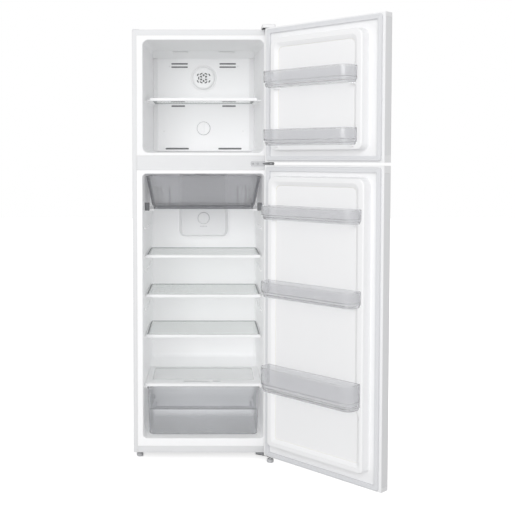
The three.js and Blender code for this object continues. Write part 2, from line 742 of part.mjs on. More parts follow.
// The crisper drawer: an open tray with a finger scoop across its front.
function crisperDrawer() {
  const { topHalf, bottomHalf, low, high, front, topFront, back, wall } = CRISPER;
  const body = (inset, top) => {
    const share = (top - low) / (high - low);
    const at = (a, b) => a + (b - a) * share;
    const radius = 14 - inset;
    const bottom = roundedRect(
      [-bottomHalf + inset, bottomHalf - inset],
      [front + inset, back - inset],
      radius,
      3,
    );
    const rim = roundedRect(
      [-at(bottomHalf, topHalf) + inset, at(bottomHalf, topHalf) - inset],
      [at(front, topFront) + inset, at(back, CRISPER_TOP_BACK) - inset],
      radius,
      3,
    );
    return loft([ringAtHeight(bottom, low + inset), ringAtHeight(rim, top)]);
  };
  const scoop = (grow) => {
    const slope = (topFront - front) / (high - low);
    const face = (z) => front + (z - low) * slope;
    const bottom = SCOOP.height - grow;
    const top = high - 22 + grow;
    const ring = (half, y, [from, to]) => {
      const reach = half + grow;
      return ringAtDepth([[-reach, from], [reach, from], [reach, to], [-reach, to]], y);
    };
    return loft([
      ring(SCOOP.half, front - 20, [bottom, top]),
      ring(SCOOP.half, face(SCOOP.height), [bottom, top]),
      ring(SCOOP.innerHalf, face(SCOOP.height) + SCOOP.depth + grow, [bottom, bottom + 12 + 2 * grow]),
    ]);
  };
  return cut(body(0, high), scoop(0), cut(body(wall, high + 5), scoop(wall)));
}

function crisperCoverFrame() {
  const { half, front, back, low, high, band, side } = CRISPER_COVER;
  const frame = prism("z", roundedRect([-half, half], [front, back], [4, 4, 2, 2], 2), low, high);
  const window = box([-half + side, half - side], [front + band, back - side], [low - 1, high + 1]);
  const under = box([-half + side, half - side], [front + 4, front + band + 1], [low - 1, high - 4]);
  const slot = box(
    [SLIDER_SLOT.low, SLIDER_SLOT.high],
    [SLIDER_SLOT.y - SLIDER_SLOT.depth / 2, SLIDER_SLOT.y + SLIDER_SLOT.depth / 2],
    [high - 6, high + 1],
  );
  const rebate = box(
    [-half + side - 6, half - side + 6],
    [front + band - 6, back - side + 6],
    [high - 7, high + 1],
  );
  return cut(frame, window, under, slot, rebate).intersect(fridgeSpace(-GAP));
}

function crisperCoverGlass() {
  const { half, front, back, high, band, side } = CRISPER_COVER;
  const outline = roundedRect(
    [-half + side - 6 + GAP, half - side + 6 - GAP],
    [front + band - 6 + GAP, back - side + 6 - GAP],
    2,
    1,
  );
  return prism("z", outline, high - 7 + GAP, high - 2);
}

function humiditySlider() {
  const { high } = CRISPER_COVER;
  const { x, width, depth } = SLIDER;
  const button = box(
    [x - width / 2, x + width / 2],
    [SLIDER_SLOT.y - depth, SLIDER_SLOT.y + depth],
    [high + GAP, high + 5],
  );
  const neckDepths = [SLIDER_SLOT.y - 4, SLIDER_SLOT.y + 4];
  const neck = box([x - width / 2, x + width / 2], neckDepths, [high - 8, high + 1]);
  return join(button, neck);
}

// ---------- Doors ----------

// The door's outline from above, smaller by inset, with the two front edges rounded.
function doorOutline(inset, back) {
  const radius = DOOR_EDGE_RADIUS - inset;
  const across = [HINGE_INSET - DOOR_WIDTH + inset, HINGE_INSET - inset];
  return roundedRect(across, [DOOR_FRONT + inset, back], [radius, radius, 0.01, 0.01], 3);
}

// The plug on the door's back, larger by grow, less its shallow recess.
function doorPlug({ plug }, grow) {
  const { hinge, free, low, high, spread, spreadHigh } = plug;
  const ring = (side, height, y, radius) =>
    ringAtDepth(
      roundedRect(
        [-free - side - grow, -hinge + side * 0.8 + grow],
        [low - height - grow, high + height + grow],
        radius,
      ),
      y,
    );
  const face = DOOR_BACK + PLUG_HEIGHT + grow;
  const start = DOOR_BACK - 3;
  return loft([
    ring(spread, spreadHigh, start, PLUG_CORNER + spread / 2),
    ring(spread, spreadHigh, DOOR_BACK, PLUG_CORNER + spread / 2),
    ring(3, 2, face - 5, PLUG_CORNER),
    ring(-2, -2, face, PLUG_CORNER),
  ]);
}

function plugRecess({ plug }, grow) {
  const { hinge, free, low, high } = plug;
  const face = DOOR_BACK + PLUG_HEIGHT;
  const ring = (inset, y) => {
    const across = [-free + inset - grow, -hinge - inset + grow];
    return ringAtDepth(roundedRect(across, [low + inset - grow, high - inset + grow], 10), y);
  };
  const { rim, slope, depth } = RECESS;
  return loft([ring(rim + slope, face - depth - grow), ring(rim, face), ring(rim, face + 5)]);
}

function doorLiner(door) {
  const across = [HINGE_INSET - DOOR_WIDTH, HINGE_INSET];
  const plate = prism("y", roundedRect(across, [door.low, door.high], 2, 2), DOOR_BACK - 1.2, DOOR_BACK);
  const inner = cut(doorPlug(door, -LINER), plugRecess(door, LINER));
  const skin = cut(join(plate, doorPlug(door, 0)), plugRecess(door, 0), inner);
  const face = DOOR_BACK + PLUG_HEIGHT;
  const lugs = door.bins.flatMap(({ low, hinge, free }) =>
    [-hinge - 30, -free + 30].map((x) => {
      const across = [x - BIN_LUG.width / 2, x + BIN_LUG.width / 2];
      const out = [face - RECESS.depth - LINER, face + BIN_LUG.depth];
      return cut(box(across, out, [low - GAP - BIN_LUG.height, low - GAP]), inner);
    }),
  );
  const front = box([across[0] - 1, across[1] + 1], [-99, DOOR_BACK - 1.2], [door.low, door.high]);
  const trimmed = cut(skin, front);
  return join(trimmed, ...lugs);
}

function doorShell(door) {
  const back = DOOR_BACK - 1.2 - GAP;
  const [low, high] = [door.low + door.lowCap + GAP, door.high - door.highCap - GAP];
  const outer = prism("z", doorOutline(0, back), low, high);
  const inner = prism("z", doorOutline(STEEL, back + 5), low - 1, high + 1);
  return cut(outer, inner);
}

function doorFoam(door) {
  const back = DOOR_BACK - 1.2 - GAP;
  const [low, high] = [door.low + door.lowCap + GAP, door.high - door.highCap - GAP];
  const block = prism("z", doorOutline(STEEL + GAP, back), low, high);
  const tight = LINER + GAP;
  const inPlug = cut(doorPlug(door, -tight), plugRecess(door, tight));
  return join(block, inPlug);
}

// End cap of a door, with a bore for the hinge pin and, on one end, a finger grip along the front edge.
function doorCap(door, end) {
  const back = DOOR_BACK - 1.2 - GAP;
  const from = end === "low" ? door.low : door.high - door.highCap;
  const to = end === "low" ? door.low + door.lowCap : door.high;
  const face = end === "low" ? from : to;
  const cap = prism("z", doorOutline(0, back), from, to);
  const bore = prism("z", circle(0, 0, PIN_RADIUS + RUNNING, 16), face - PIN_DEPTH - 1, face + PIN_DEPTH + 1);
  if (door.grip !== end) return cut(cap, bore);
  const freeEdge = HINGE_INSET - DOOR_WIDTH + GRIP.fromFreeEdge;
  const grip = prism("x", circle(DOOR_FRONT + 6, face, GRIP.radius, 16), freeEdge, freeEdge + GRIP.width);
  return cut(cap, bore, grip);
}

function doorGasket(door) {
  const { margin, hingeMargin, width, clearance } = GASKET;
  const across = [HINGE_INSET - DOOR_WIDTH + margin, HINGE_INSET - hingeMargin];
  const up = [door.low + 6, door.high - 6];
  const ring = (inset, from, to) => {
    const outline = roundedRect(
      [across[0] + inset, across[1] - inset],
      [up[0] + inset, up[1] - inset],
      Math.max(6 - inset / 2, 2),
      2,
    );
    return prism("y", outline, from, to);
  };
  const face = HINGE_REACH - clearance;
  return cut(ring(0, DOOR_BACK + GAP, face), ring(width, DOOR_BACK - 5, face + 5));
}

// A door bin: an open tray with round front corners whose floor is set in at the front.
function doorBin({ low, high, hinge, free }) {
  const back = DOOR_BACK + PLUG_HEIGHT + GAP;
  const front = back + BIN.reach;
  const { wall, corner, backCorner, drop } = BIN;
  const ring = (inset, tuck, z) => {
    const radii = [backCorner, backCorner, corner - inset - tuck / 2, corner - inset - tuck / 2];
    const across = [-free + inset + tuck / 2, -hinge - inset - tuck / 2];
    return ringAtHeight(roundedRect(across, [back + inset, front - inset - tuck], radii), z);
  };
  const body = (inset, floor, top) =>
    loft([ring(inset, drop, floor), ring(inset, 2, low + drop + 3), ring(inset, 0, top)]);
  return cut(body(0, low, high), body(wall, low + wall, high + 1));
}

function addDoor(parent, door) {
  const group = new THREE.Group();
  group.rotation.z = THREE.MathUtils.degToRad(OPEN_ANGLE);
  addPiece(group, `${door.name}_shell`, doorShell(door), WHITE_PAINT);
  addPiece(group, `${door.name}_foam`, doorFoam(door), FOAM);
  addPiece(group, `${door.name}_liner`, doorLiner(door), WHITE_LINER);
  addPiece(group, `${door.name}_gasket`, doorGasket(door), GASKET_VINYL);
  addPiece(group, `${door.name}_bottom_cap`, doorCap(door, "low"), WHITE_PLASTIC);
  addPiece(group, `${door.name}_top_cap`, doorCap(door, "high"), WHITE_PLASTIC);
  door.bins.forEach((bin) => addPiece(group, bin.name, doorBin(bin), CLEAR_PLASTIC));
  parent.add(group);
}

// ---------- Hinges and feet, drawn in cabinet coordinates ----------

// A hinge leaf from above: a plate from y = back to a round tip about the hinge axis.
function hingeLeaf(from, back, tip, low, high) {
  const right = HINGE_X + tip;
  const outline = [
    [from, back],
    [from, Math.min(back - 6, -DOOR_STANDOFF + 4)],
    ...circle(HINGE_X, -HINGE_REACH, tip, 16).slice(8),
    [right, -HINGE_REACH],
    [right, back],
  ];
  return prism("z", outline, low, high);
}

const hingePin = (low, high) => prism("z", circle(HINGE_X, -HINGE_REACH, PIN_RADIUS, 16), low, high);

function topHinge() {
  const low = CABINET_TOP + GAP;
  const leaf = hingeLeaf(TOP_HINGE.from, TOP_HINGE.back, TOP_HINGE.tip, low, low + PLATE);
  return join(leaf, hingePin(FREEZER_DOOR.high - PIN_DEPTH, low + PLATE));
}

function topHingeCover() {
  const { from, back, front, height, wall } = HINGE_COVER;
  const right = CABINET_WIDTH / 2 - GAP;
  const low = CABINET_TOP + GAP;
  const ring = (inset, z) =>
    ringAtHeight(roundedRect([from + inset, right - inset], [front + inset, back - inset], 5, 2), z);
  const outer = loft([ring(0, low), ring(0, low + height - 3), ring(2, low + height)]);
  const inner = loft([
    ring(wall, low - 1),
    ring(wall, low + height - 3 - wall / 2),
    ring(2 + wall, low + height - wall),
  ]);
  return cut(outer, inner);
}

function middleHinge() {
  const { from, low, high, leafWidth, tip } = MIDDLE_HINGE;
  const right = HINGE_X + tip;
  const middle = (FREEZER_DOOR.low + FRIDGE_DOOR.high) / 2;
  const flange = prism("y", roundedRect([from, right], [low, high], 3, 2), -GAP - PLATE, -GAP);
  const leaf = hingeLeaf(right - leafWidth, -GAP - 1, tip, middle - PLATE / 2, middle + PLATE / 2);
  return join(flange, leaf, hingePin(FRIDGE_DOOR.high - PIN_DEPTH, FREEZER_DOOR.low + PIN_DEPTH));
}

function bottomHinge() {
  const { from, back, tip, low } = BOTTOM_HINGE;
  const high = CABINET_BOTTOM - GAP;
  const leaf = hingeLeaf(from, back, tip, low, high);
  return join(leaf, hingePin(low, FRIDGE_DOOR.low + PIN_DEPTH));
}

function foot(x, y, stemTop) {
  const { radius, height, stem } = FOOT;
  const profile = [[0, 0], [radius - 1, 0], [radius, 1], [radius, height - 2], [radius - 2, height]];
  return turned([...profile, [stem, height], [stem, stemTop], [0, stemTop]], x, y);
}

function cornerCap() {
  const left = -CABINET_WIDTH / 2 + 1;
  const { width, depth, height } = CORNER_CAP;
  const outline = (inset) => {
    return roundedRect([left + inset, left + width - inset], [2 + inset, depth - inset], 4, 2);
  };
  const low = CABINET_TOP + GAP;
  return loft([
    ringAtHeight(outline(0), low),
    ringAtHeight(outline(0), low + height - 1),
    ringAtHeight(outline(1), low + height),
  ]);
}

// ---------- Assembly ----------

function addCabinet(parent) {
  addPiece(parent, "cabinet_shell", cabinetShell(), WHITE_PAINT);
  addPiece(parent, "cabinet_back_panel", backPanel(), WHITE_PAINT);
  addPiece(parent, "cabinet_foam", cabinetFoam(), FOAM);
  addPiece(parent, "freezer_liner", freezerLiner(), WHITE_LINER);
  addPiece(parent, "fridge_liner", fridgeLiner(), WHITE_LINER);
  addPiece(parent, "center_mullion", mullion(), WHITE_PAINT);
  addPiece(parent, "bottom_rail", bottomRail(), WHITE_PAINT);
  addPiece(parent, "base_plate", basePlate(), ZINC);
}

function addMachineRoom(parent) {
  addPiece(parent, "compressor_bar", compressorBar(), ZINC);
  addPiece(parent, "compressor", compressor(), DARK_PAINT);
  addPiece(parent, "drip_tray", dripTray(), GREY_PLASTIC);
  addPiece(parent, "rear_roller_left", roller(-ROLLER.x), GREY_PLASTIC);
  addPiece(parent, "rear_roller_right", roller(ROLLER.x), GREY_PLASTIC);
}

function addFreezerFittings(parent) {
  const { radius, height, depth } = FREEZER_KNOB;
  addPiece(parent, "evaporator_cover", evaporatorCover(), WHITE_LINER);
  addPiece(parent, "evaporator_coil", evaporatorCoil(), ALUMINIUM);
  addPiece(parent, "fan_motor", fanMotor(), DARK_PAINT);
  addPiece(parent, "fan_rotor", fanRotor(), GREY_PLASTIC);
  addPiece(parent, "fan_cap", fanCap(), WHITE_PLASTIC);
  addPiece(parent, "freezer_control_knob", knob(radius, height, COVER_FACE, depth, 8), WHITE_PLASTIC);
  addShelf(parent, "freezer_shelf", FREEZER_SHELF, FREEZER_SHELF.top, SHELF.trimHeight, SHELF.trimDepth);
}

function addFridgeFittings(parent) {
  const { radius, height, depth } = FRIDGE_KNOB;
  addPiece(parent, "air_duct_cover", ductCover(), WHITE_LINER);
  addPiece(parent, "fridge_control_knob", knob(radius, height, DUCT.face, depth, 8), WHITE_PLASTIC);
  addPiece(parent, "lamp_lens", lampLens(), CLEAR_PLASTIC);
  addPiece(parent, "chiller_drawer", chillerDrawer(), CLEAR_PLASTIC);
  SHELF_HEIGHTS.forEach((top, i) =>
    addShelf(parent, `fridge_shelf_${i + 1}`, SHELF, top, SHELF.trimHeight, SHELF.trimDepth),
  );
  addPiece(parent, "crisper_cover_frame", crisperCoverFrame(), WHITE_PLASTIC);
  addPiece(parent, "crisper_cover_glass", crisperCoverGlass(), GLASS);
  addPiece(parent, "humidity_slider", humiditySlider(), WHITE_PLASTIC);
  addPiece(parent, "crisper_drawer", crisperDrawer(), CLEAR_PLASTIC);
}

function addHingesAndFeet(parent) {
  addPiece(parent, "top_hinge", topHinge(), ZINC);
  addPiece(parent, "top_hinge_cover", topHingeCover(), WHITE_PLASTIC);
  addPiece(parent, "middle_hinge", middleHinge(), ZINC);
  addPiece(parent, "bottom_hinge", bottomHinge(), ZINC);
  addPiece(parent, "top_corner_cap", cornerCap(), WHITE_PLASTIC);
  addPiece(parent, "left_front_foot", foot(LEFT_FOOT.x, LEFT_FOOT.y, CABINET_BOTTOM - GAP), RUBBER);
  addPiece(parent, "right_front_foot", foot(HINGE_X, -HINGE_REACH, BOTTOM_HINGE.low - GAP), RUBBER);
}

const refrigerator = new THREE.Group();
const cabinet = new THREE.Group();
cabinet.position.set(-HINGE_X, HINGE_REACH, 0);
refrigerator.add(cabinet);
addCabinet(cabinet);
addMachineRoom(cabinet);
addFreezerFittings(cabinet);
addFridgeFittings(cabinet);
addHingesAndFeet(cabinet);
addDoor(refrigerator, FREEZER_DOOR);
addDoor(refrigerator, FRIDGE_DOOR);

export default refrigerator;
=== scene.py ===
"""Top freezer refrigerator with both doors open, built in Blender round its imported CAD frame.

Lengths are metres in the frame's own axes: +X to the right, +Y to the back, +Z up. Cabinet pieces are
drawn in cabinet coordinates, with X = 0 on the centre line, Y = 0 on the front plane and Z = 0 on the
floor. Door pieces are drawn closed in hinge coordinates, where the Z axis is the hinge axis and the door
runs from it towards -X, and are then turned open.
"""

import json
import math

import bpy
import numpy as np
from bpy.props import FloatProperty, FloatVectorProperty, IntProperty, PointerProperty
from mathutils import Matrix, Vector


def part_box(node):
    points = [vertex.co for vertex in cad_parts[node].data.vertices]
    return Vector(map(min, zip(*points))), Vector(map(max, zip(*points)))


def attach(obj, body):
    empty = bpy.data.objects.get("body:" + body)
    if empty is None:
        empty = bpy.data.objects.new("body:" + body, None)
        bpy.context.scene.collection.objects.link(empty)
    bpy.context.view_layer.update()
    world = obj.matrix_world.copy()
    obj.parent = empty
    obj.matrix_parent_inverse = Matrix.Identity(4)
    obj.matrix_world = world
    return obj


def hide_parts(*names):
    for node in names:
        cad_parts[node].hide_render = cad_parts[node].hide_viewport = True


bl_info = {
    "name": "Top Freezer Refrigerator",
    "version": (1, 0, 0),
    "blender": (4, 5, 0),
    "location": "View3D > Sidebar > Refrigerator",
    "description": "Builds the finished pieces of a top freezer refrigerator round its frame",
    "category": "Object",
}

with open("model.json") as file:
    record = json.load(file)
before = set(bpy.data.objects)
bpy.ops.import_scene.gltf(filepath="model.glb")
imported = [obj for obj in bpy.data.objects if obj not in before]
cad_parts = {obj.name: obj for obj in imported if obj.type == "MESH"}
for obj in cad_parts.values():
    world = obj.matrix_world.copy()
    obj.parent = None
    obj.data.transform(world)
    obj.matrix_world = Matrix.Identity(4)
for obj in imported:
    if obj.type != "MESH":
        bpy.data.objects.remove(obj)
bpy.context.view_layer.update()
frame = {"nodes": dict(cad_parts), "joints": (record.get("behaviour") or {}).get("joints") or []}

# ---------- Places in the frame ----------

SKIN_LOW, SKIN_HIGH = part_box("cabinet_shell")
CABINET_ORIGIN = np.array([(SKIN_LOW.x + SKIN_HIGH.x) / 2, SKIN_LOW.y, 0.0])
DOOR_JOINT = next(joint for joint in frame["joints"] if joint["name"] == "fridge_door_hinge")
OPEN_ANGLE = -math.radians(DOOR_JOINT["range_deg"][0])


def node_points(name):
    """The vertices of a CAD node as an (N, 3) array."""
    vertices = frame["nodes"][name].data.vertices
    flat = np.empty(3 * len(vertices), np.float32)
    vertices.foreach_get("co", flat)
    return flat.reshape(-1, 3).astype(float)


def turn_about_hinge(points, angle):
    """(x cos a - y sin a, x sin a + y cos a, z): a turn about the doors' common hinge axis."""
    x, y, z = points[:, 0], points[:, 1], points[:, 2]
    across = x * math.cos(angle) - y * math.sin(angle)
    along = x * math.sin(angle) + y * math.cos(angle)
    return np.stack([across, along, z], axis=1)


def in_cabinet(points):
    """Cabinet coordinates moved into the frame."""
    return points + CABINET_ORIGIN


def on_door(points):
    """Hinge coordinates of a closed door, turned open into the frame."""
    return turn_about_hinge(points, OPEN_ANGLE)


def cabinet_box(name):
    """Lowest and highest corner of a CAD node in cabinet coordinates."""
    points = node_points(name) - CABINET_ORIGIN
    return points.min(0), points.max(0)


def door_box(name):
    """Lowest and highest corner of a CAD node of a door, in hinge coordinates with the door closed."""
    points = turn_about_hinge(node_points(name), -OPEN_ANGLE)
    return points.min(0), points.max(0)


# ---------- Sizes that repeat the CAD source ----------

SKIN = 0.001  # steel sheet
WALL = 0.002  # liner sheet
SIDE_FLANGE = 0.017
TOP_FLANGE = 0.022
FREEZER = {"half": 0.234, "low": 1.205, "high": 1.638, "back_half": 0.217, "back_low": 1.212,
           "depth": 0.460, "corner": 0.022, "fillet": 0.014}
FRIDGE = {"half": 0.236, "low": 0.082, "high": 1.123, "back_half": 0.229, "back_low": 0.082,
          "depth": 0.455, "corner": 0.015, "fillet": 0.012}
STEP = {"front": 0.350, "height": 0.273, "slope": 0.314}  # raised floor over the compressor
COVER = {"face": 0.400, "half": 0.197, "edge_half": 0.214, "edge_face": 0.412, "high": 1.612,
         "strip_front": 0.338}
FAN_HEIGHT = 1.527
DUCT = {"half": 0.096, "back_half": 0.107, "low": 0.850, "face": 0.400, "corner": 0.017}
CHILLER = {"top_half": 0.231, "bottom_half": 0.203, "taper": 0.005}
CRISPER = {"top_half": 0.223, "bottom_half": 0.216, "front": 0.040, "top_front": 0.058,
           "back": 0.318, "top_back": 0.344}
SCOOP = {"half": 0.212, "inner_half": 0.185, "height": 0.186, "depth": 0.034, "top": 0.250}
SLIDER_SLOT = {"low": -0.083, "high": 0.071, "y": 0.092, "depth": 0.010}
PLUG_HEIGHT = 0.040  # of the door liner's raised middle
RIM = {"width": 0.015, "slope": 0.012, "depth": 0.010}
PLUGS = {
    "freezer_door": {"hinge": -0.052, "free": -0.458, "low": 1.217, "high": 1.624, "spread": 0.014,
                     "rise": 0.008, "low_corner": 0.022, "high_corner": 0.028},
    "fridge_door": {"hinge": -0.042, "free": -0.470, "low": 0.092, "high": 1.111, "spread": 0.014,
                    "rise": 0.007, "low_corner": 0.013, "high_corner": 0.028},
}
DOOR_BINS = {
    "freezer_door": ("freezer_bin_lower", "freezer_bin_upper"),
    "fridge_door": ("fridge_bin_bottom", "fridge_bin_middle", "fridge_bin_top"),
}
BIN_WALL = 0.0022
BIN_CORNER = 0.035
JOINT_GAP = 0.0003  # between pieces that touch

# ---------- Sizes that only the finished pieces have ----------

LEDGE_HEIGHT = 0.006
LEDGE_OVERLAP = 0.006  # of the glass and the ledge under it
SPARE_LEDGE_RISES = (0.110, 0.101, 0.104)  # of each pair of unused ledges over the shelf below it
SPARE_LEDGE_DEPTHS = ((0.104, 0.170), (0.230, 0.420))
COVER_SLOTS = (  # how far they reach from the middle, their lower edges, and how tall each one is
    {"reach": (0.068, 0.139), "lows": (1.572, 1.586), "tall": 0.006},
    {"reach": (0.080, 0.139), "lows": (1.405, 1.425), "tall": 0.006},
    {"reach": (0.064, 0.164), "lows": (1.221,), "tall": 0.007},
)
COVER_SCREWS = ((0.147, 1.578), (0.170, 1.300))  # distance from the middle, and height
DUCT_TOP_SLOTS = {"reach": (0.018, 0.046), "lows": (1.096,), "tall": 0.006}
DUCT_SIDE_VENTS = (0.900, 0.980, 1.060)
SHADE_MARGIN = 0.004  # of the dark plate of painted shade round the slots in front of it
MIDDLE_LEAF = {"face": -0.0033, "height": 1.162, "screws": (0.008, 0.026)}
BORDER_SHEET = 0.0012  # the door liner's flat border
STRAIGHT_POINTS = 40  # along each side of a door liner's stations
PIPES = (
    ((-0.085, 0.470, 0.060), (-0.118, 0.474, 0.062), (-0.140, 0.478, 0.080), (-0.146, 0.480, 0.130),
     (-0.150, 0.478, 0.170), (-0.175, 0.474, 0.190), (-0.215, 0.468, 0.196), (-0.250, 0.462, 0.200)),
    ((-0.070, 0.498, 0.090), (-0.075, 0.506, 0.120), (-0.060, 0.508, 0.150), (0.000, 0.506, 0.160),
     (0.080, 0.500, 0.164), (0.150, 0.490, 0.168), (0.190, 0.470, 0.190), (0.200, 0.440, 0.212)),
)
CAMERA = {"place": (-0.2502, -3.4032, 1.1824), "tilt": 2.7407, "pan": 0.119,
          "shift_x": 0.10338, "shift_y": -0.11}
KEY_LIGHT = {"left": 1.1, "front": -7.0, "height": 2.6, "size": 5.0, "aim_depth": 0.3, "aim_height": 0.9}


# ---------- User settings ----------

class ShellSettings(bpy.types.PropertyGroup):
    """Sheet metal and liner sizes."""
    fold: FloatProperty(name="Fold", description="Outside radius of folded steel edges",
                        default=0.0025, unit="LENGTH")
    lip: FloatProperty(name="Lip", description="Radius of a liner's mouth", default=0.004, unit="LENGTH")
    door_edge: FloatProperty(name="Door edge", description="Radius of the doors' front edges",
                             default=0.009, unit="LENGTH")
    arc_steps: IntProperty(name="Arc steps", description="Faces round a quarter turn", default=8, min=2)


class FittingSettings(bpy.types.PropertyGroup):
    """Sizes of the moulded and glass fittings."""
    sheet: FloatProperty(name="Cover sheet", description="Wall of the moulded covers",
                         default=0.0025, unit="LENGTH")
    glass_edge: FloatProperty(name="Glass edge", description="Radius of polished glass edges",
                              default=0.0008, unit="LENGTH")


class FinishSettings(bpy.types.PropertyGroup):
    """Colours of the finishes, and the strengths of the painted glow in the liners and the inner fittings.
    """
    enamel: FloatVectorProperty(name="Enamel", description="Painted steel", subtype="COLOR",
                                size=3, default=(0.80, 0.805, 0.815))
    liner: FloatVectorProperty(name="Liner", description="Vacuum formed liners", subtype="COLOR",
                               size=3, default=(0.855, 0.857, 0.865))
    plastic: FloatVectorProperty(name="Plastic", description="White moulded plastic", subtype="COLOR",
                                 size=3, default=(0.86, 0.862, 0.87))
    smoke: FloatVectorProperty(name="Smoke", description="Tint of the clear grey plastic", subtype="COLOR",
                               size=3, default=(0.90, 0.902, 0.912))
    crisper_smoke: FloatVectorProperty(name="Crisper smoke", description="Tint of the crisper drawer",
                                       subtype="COLOR", size=3, default=(0.83, 0.835, 0.845))
    deep_smoke: FloatVectorProperty(name="Deep smoke", description="Tint of the chiller drawer",
                                    subtype="COLOR", size=3, default=(0.60, 0.603, 0.62))
    # Painted light: the freezer and fridge liners glow a little, standing in for the light bounced round
    # each compartment.
    freezer_light: FloatProperty(name="Freezer light", description="Light held by the freezer's liner",
                                 default=0.080)
    fridge_light: FloatProperty(name="Fridge light", description="Light held by the fridge's liner",
                                default=0.145)
    # Painted light: the white fittings inside the compartments glow a little too.
    fitting_light: FloatProperty(name="Fitting light", description="Light held by the white fittings",
                                 default=0.075)


class StageSettings(bpy.types.PropertyGroup):
    """Light and camera."""
    room: FloatProperty(name="Room light", description="Strength of the even white surroundings",
                        default=0.62)
    key: FloatProperty(name="Key light", description="Power of the large front light", default=272.0,
                       unit="POWER")
    lens: FloatProperty(name="Lens", description="Focal length in millimetres on a 36 mm sensor",
                        default=61.926, subtype="DISTANCE_CAMERA")


# ---------- Surfaces ----------

def round_outline(x0, x1, y0, y1, radius, steps=8, straight=0):
    """Rectangles with round corners, one per station, counterclockwise from the low corner.

    A corner is its centre + radius (cos a, sin a) over a quarter turn, and straight extra points are
    spaced evenly between one corner and the next. Any argument may be an array over the stations, and
    radius may also be an array of four per station.
    """
    radius = np.asarray(radius, float)
    if radius.ndim < 2:
        radius = np.repeat(np.atleast_1d(radius)[:, None], 4, axis=1)
    sides = [np.atleast_1d(np.asarray(side, float)) for side in (x0, x1, y0, y1)]
    count = max(len(radius), *(len(side) for side in sides))
    x0, x1, y0, y1 = (np.broadcast_to(side, count) for side in sides)
    radius = np.broadcast_to(radius, (count, 4))
    r0, r1, r2, r3 = radius.T
    centre_x = np.stack([x0 + r0, x1 - r1, x1 - r2, x0 + r3], axis=1)
    centre_y = np.stack([y0 + r0, y0 + r1, y1 - r2, y1 - r3], axis=1)
    start = np.array([1.0, 1.5, 0.0, 0.5]) * math.pi
    angle = start[:, None] + np.linspace(0, math.pi / 2, steps + 1)
    across = centre_x[..., None] + radius[..., None] * np.cos(angle)
    along = centre_y[..., None] + radius[..., None] * np.sin(angle)
    arcs = np.stack([across, along], axis=-1)
    if straight:
        share = np.linspace(0, 1, straight + 2)[1:-1, None]
        ends = arcs[:, :, -1:]
        starts = np.roll(arcs[:, :, :1], -1, axis=1)
        arcs = np.concatenate([arcs, ends + (starts - ends) * share], axis=2)
    return arcs.reshape(count, -1, 2)


def spread(values, outline):
    """One value per station, repeated for each point of its outline."""
    return np.broadcast_to(np.asarray(values, float).reshape(-1, 1), outline.shape[:2])


def at_depth(outline, y):
    """(X, Z) outlines at depths y."""
    return np.stack([outline[..., 0], spread(y, outline), outline[..., 1]], axis=-1)


def at_height(outline, z):
    """(X, Y) outlines at heights z."""
    return np.stack([outline[..., 0], outline[..., 1], spread(z, outline)], axis=-1)


def at_side(outline, x):
    """(Y, Z) outlines at places x."""
    return np.stack([spread(x, outline), outline[..., 0], outline[..., 1]], axis=-1)


def loft(rings, wrap=False):
    """Four-sided faces between neighbouring rings, with a flat cap on the first and the last one.

    With wrap the last ring joins the first instead. The faces are turned round if the volume comes out
    negative.
    """
    stations, count = rings.shape[:2]
    points = rings.reshape(-1, 3)
    first = np.arange(stations if wrap else stations - 1)[:, None] * count
    second = (first + count) % (stations * count)
    i = np.arange(count)
    j = (i + 1) % count
    quads = np.stack([first + i, first + j, second + j, second + i], axis=-1).reshape(-1, 4)
    fans = [quads[:, [0, 1, 2]], quads[:, [0, 2, 3]]]
    faces = quads.tolist()
    if not wrap:
        last = (stations - 1) * count
        faces.append(list(range(count))[::-1])
        faces.append(list(range(last, last + count)))
        fans.append(np.stack([np.zeros(count - 2, int), i[2:], i[1:-1]], axis=1))
        fans.append(np.stack([np.zeros(count - 2, int), i[1:-1], i[2:]], axis=1) + last)
    a, b, c = points[np.concatenate(fans)].transpose(1, 0, 2)
    if np.einsum("ij,ij->", a, np.cross(b, c)) < 0:
        faces = [face[::-1] for face in faces]
    return points, faces


def rounded_box(low, high, radius, axis=2, steps=4):
    """A box whose edges all have the same radius.

    Stations run along the axis. Near each end they lie r (1 - cos a) from it, and their outline is
    smaller by r (1 - sin a).
    """
    low, high = np.asarray(low, float), np.asarray(high, float)
    order = [(axis + 1) % 3, (axis + 2) % 3, axis]
    angle = np.linspace(0, math.pi / 2, steps + 1)
    inset = radius * (1 - np.sin(angle))
    rise = radius * (1 - np.cos(angle))
    inset = np.concatenate([inset, inset[::-1]])
    height = np.concatenate([low[axis] + rise, high[axis] - rise[::-1]])
    corner = np.maximum(radius - inset, radius * 0.08)
    u0, v0 = low[order[0]], low[order[1]]
    u1, v1 = high[order[0]], high[order[1]]
    rings = at_height(round_outline(u0 + inset, u1 - inset, v0 + inset, v1 - inset, corner, steps), height)
    back = np.argsort(order)
    return loft(rings[..., back])


def turned(profile, centre, axis=2, sides=48):
    """A turned solid: circles radius (cos a, sin a) at each height of a (radius, height) profile."""
    profile = np.asarray(profile, float)
    angle = np.arange(sides) * 2 * math.pi / sides
    u = profile[:, :1] * np.cos(angle)
    v = profile[:, :1] * np.sin(angle)
    w = np.broadcast_to(profile[:, 1:], u.shape)
    order = [(axis + 1) % 3, (axis + 2) % 3, axis]
    rings = np.stack([u, v, w], axis=-1)[..., np.argsort(order)]
    return loft(rings + np.asarray(centre, float))


def tube(path, radius, sides=12, reference=(0.0, 0.0, 1.0)):
    """Circles of one radius square to a path: point + r (n cos a + b sin a), n across the reference."""
    path = np.asarray(path, float)
    along = np.gradient(path, axis=0)
    along /= np.linalg.norm(along, axis=1, keepdims=True)
    normal = np.cross(along, np.asarray(reference, float))
    normal /= np.linalg.norm(normal, axis=1, keepdims=True)
    other = np.cross(along, normal)
    angle = np.arange(sides) * 2 * math.pi / sides
    ring = normal[:, None] * np.cos(angle)[:, None] + other[:, None] * np.sin(angle)[:, None]
    return loft(path[:, None] + radius * ring)


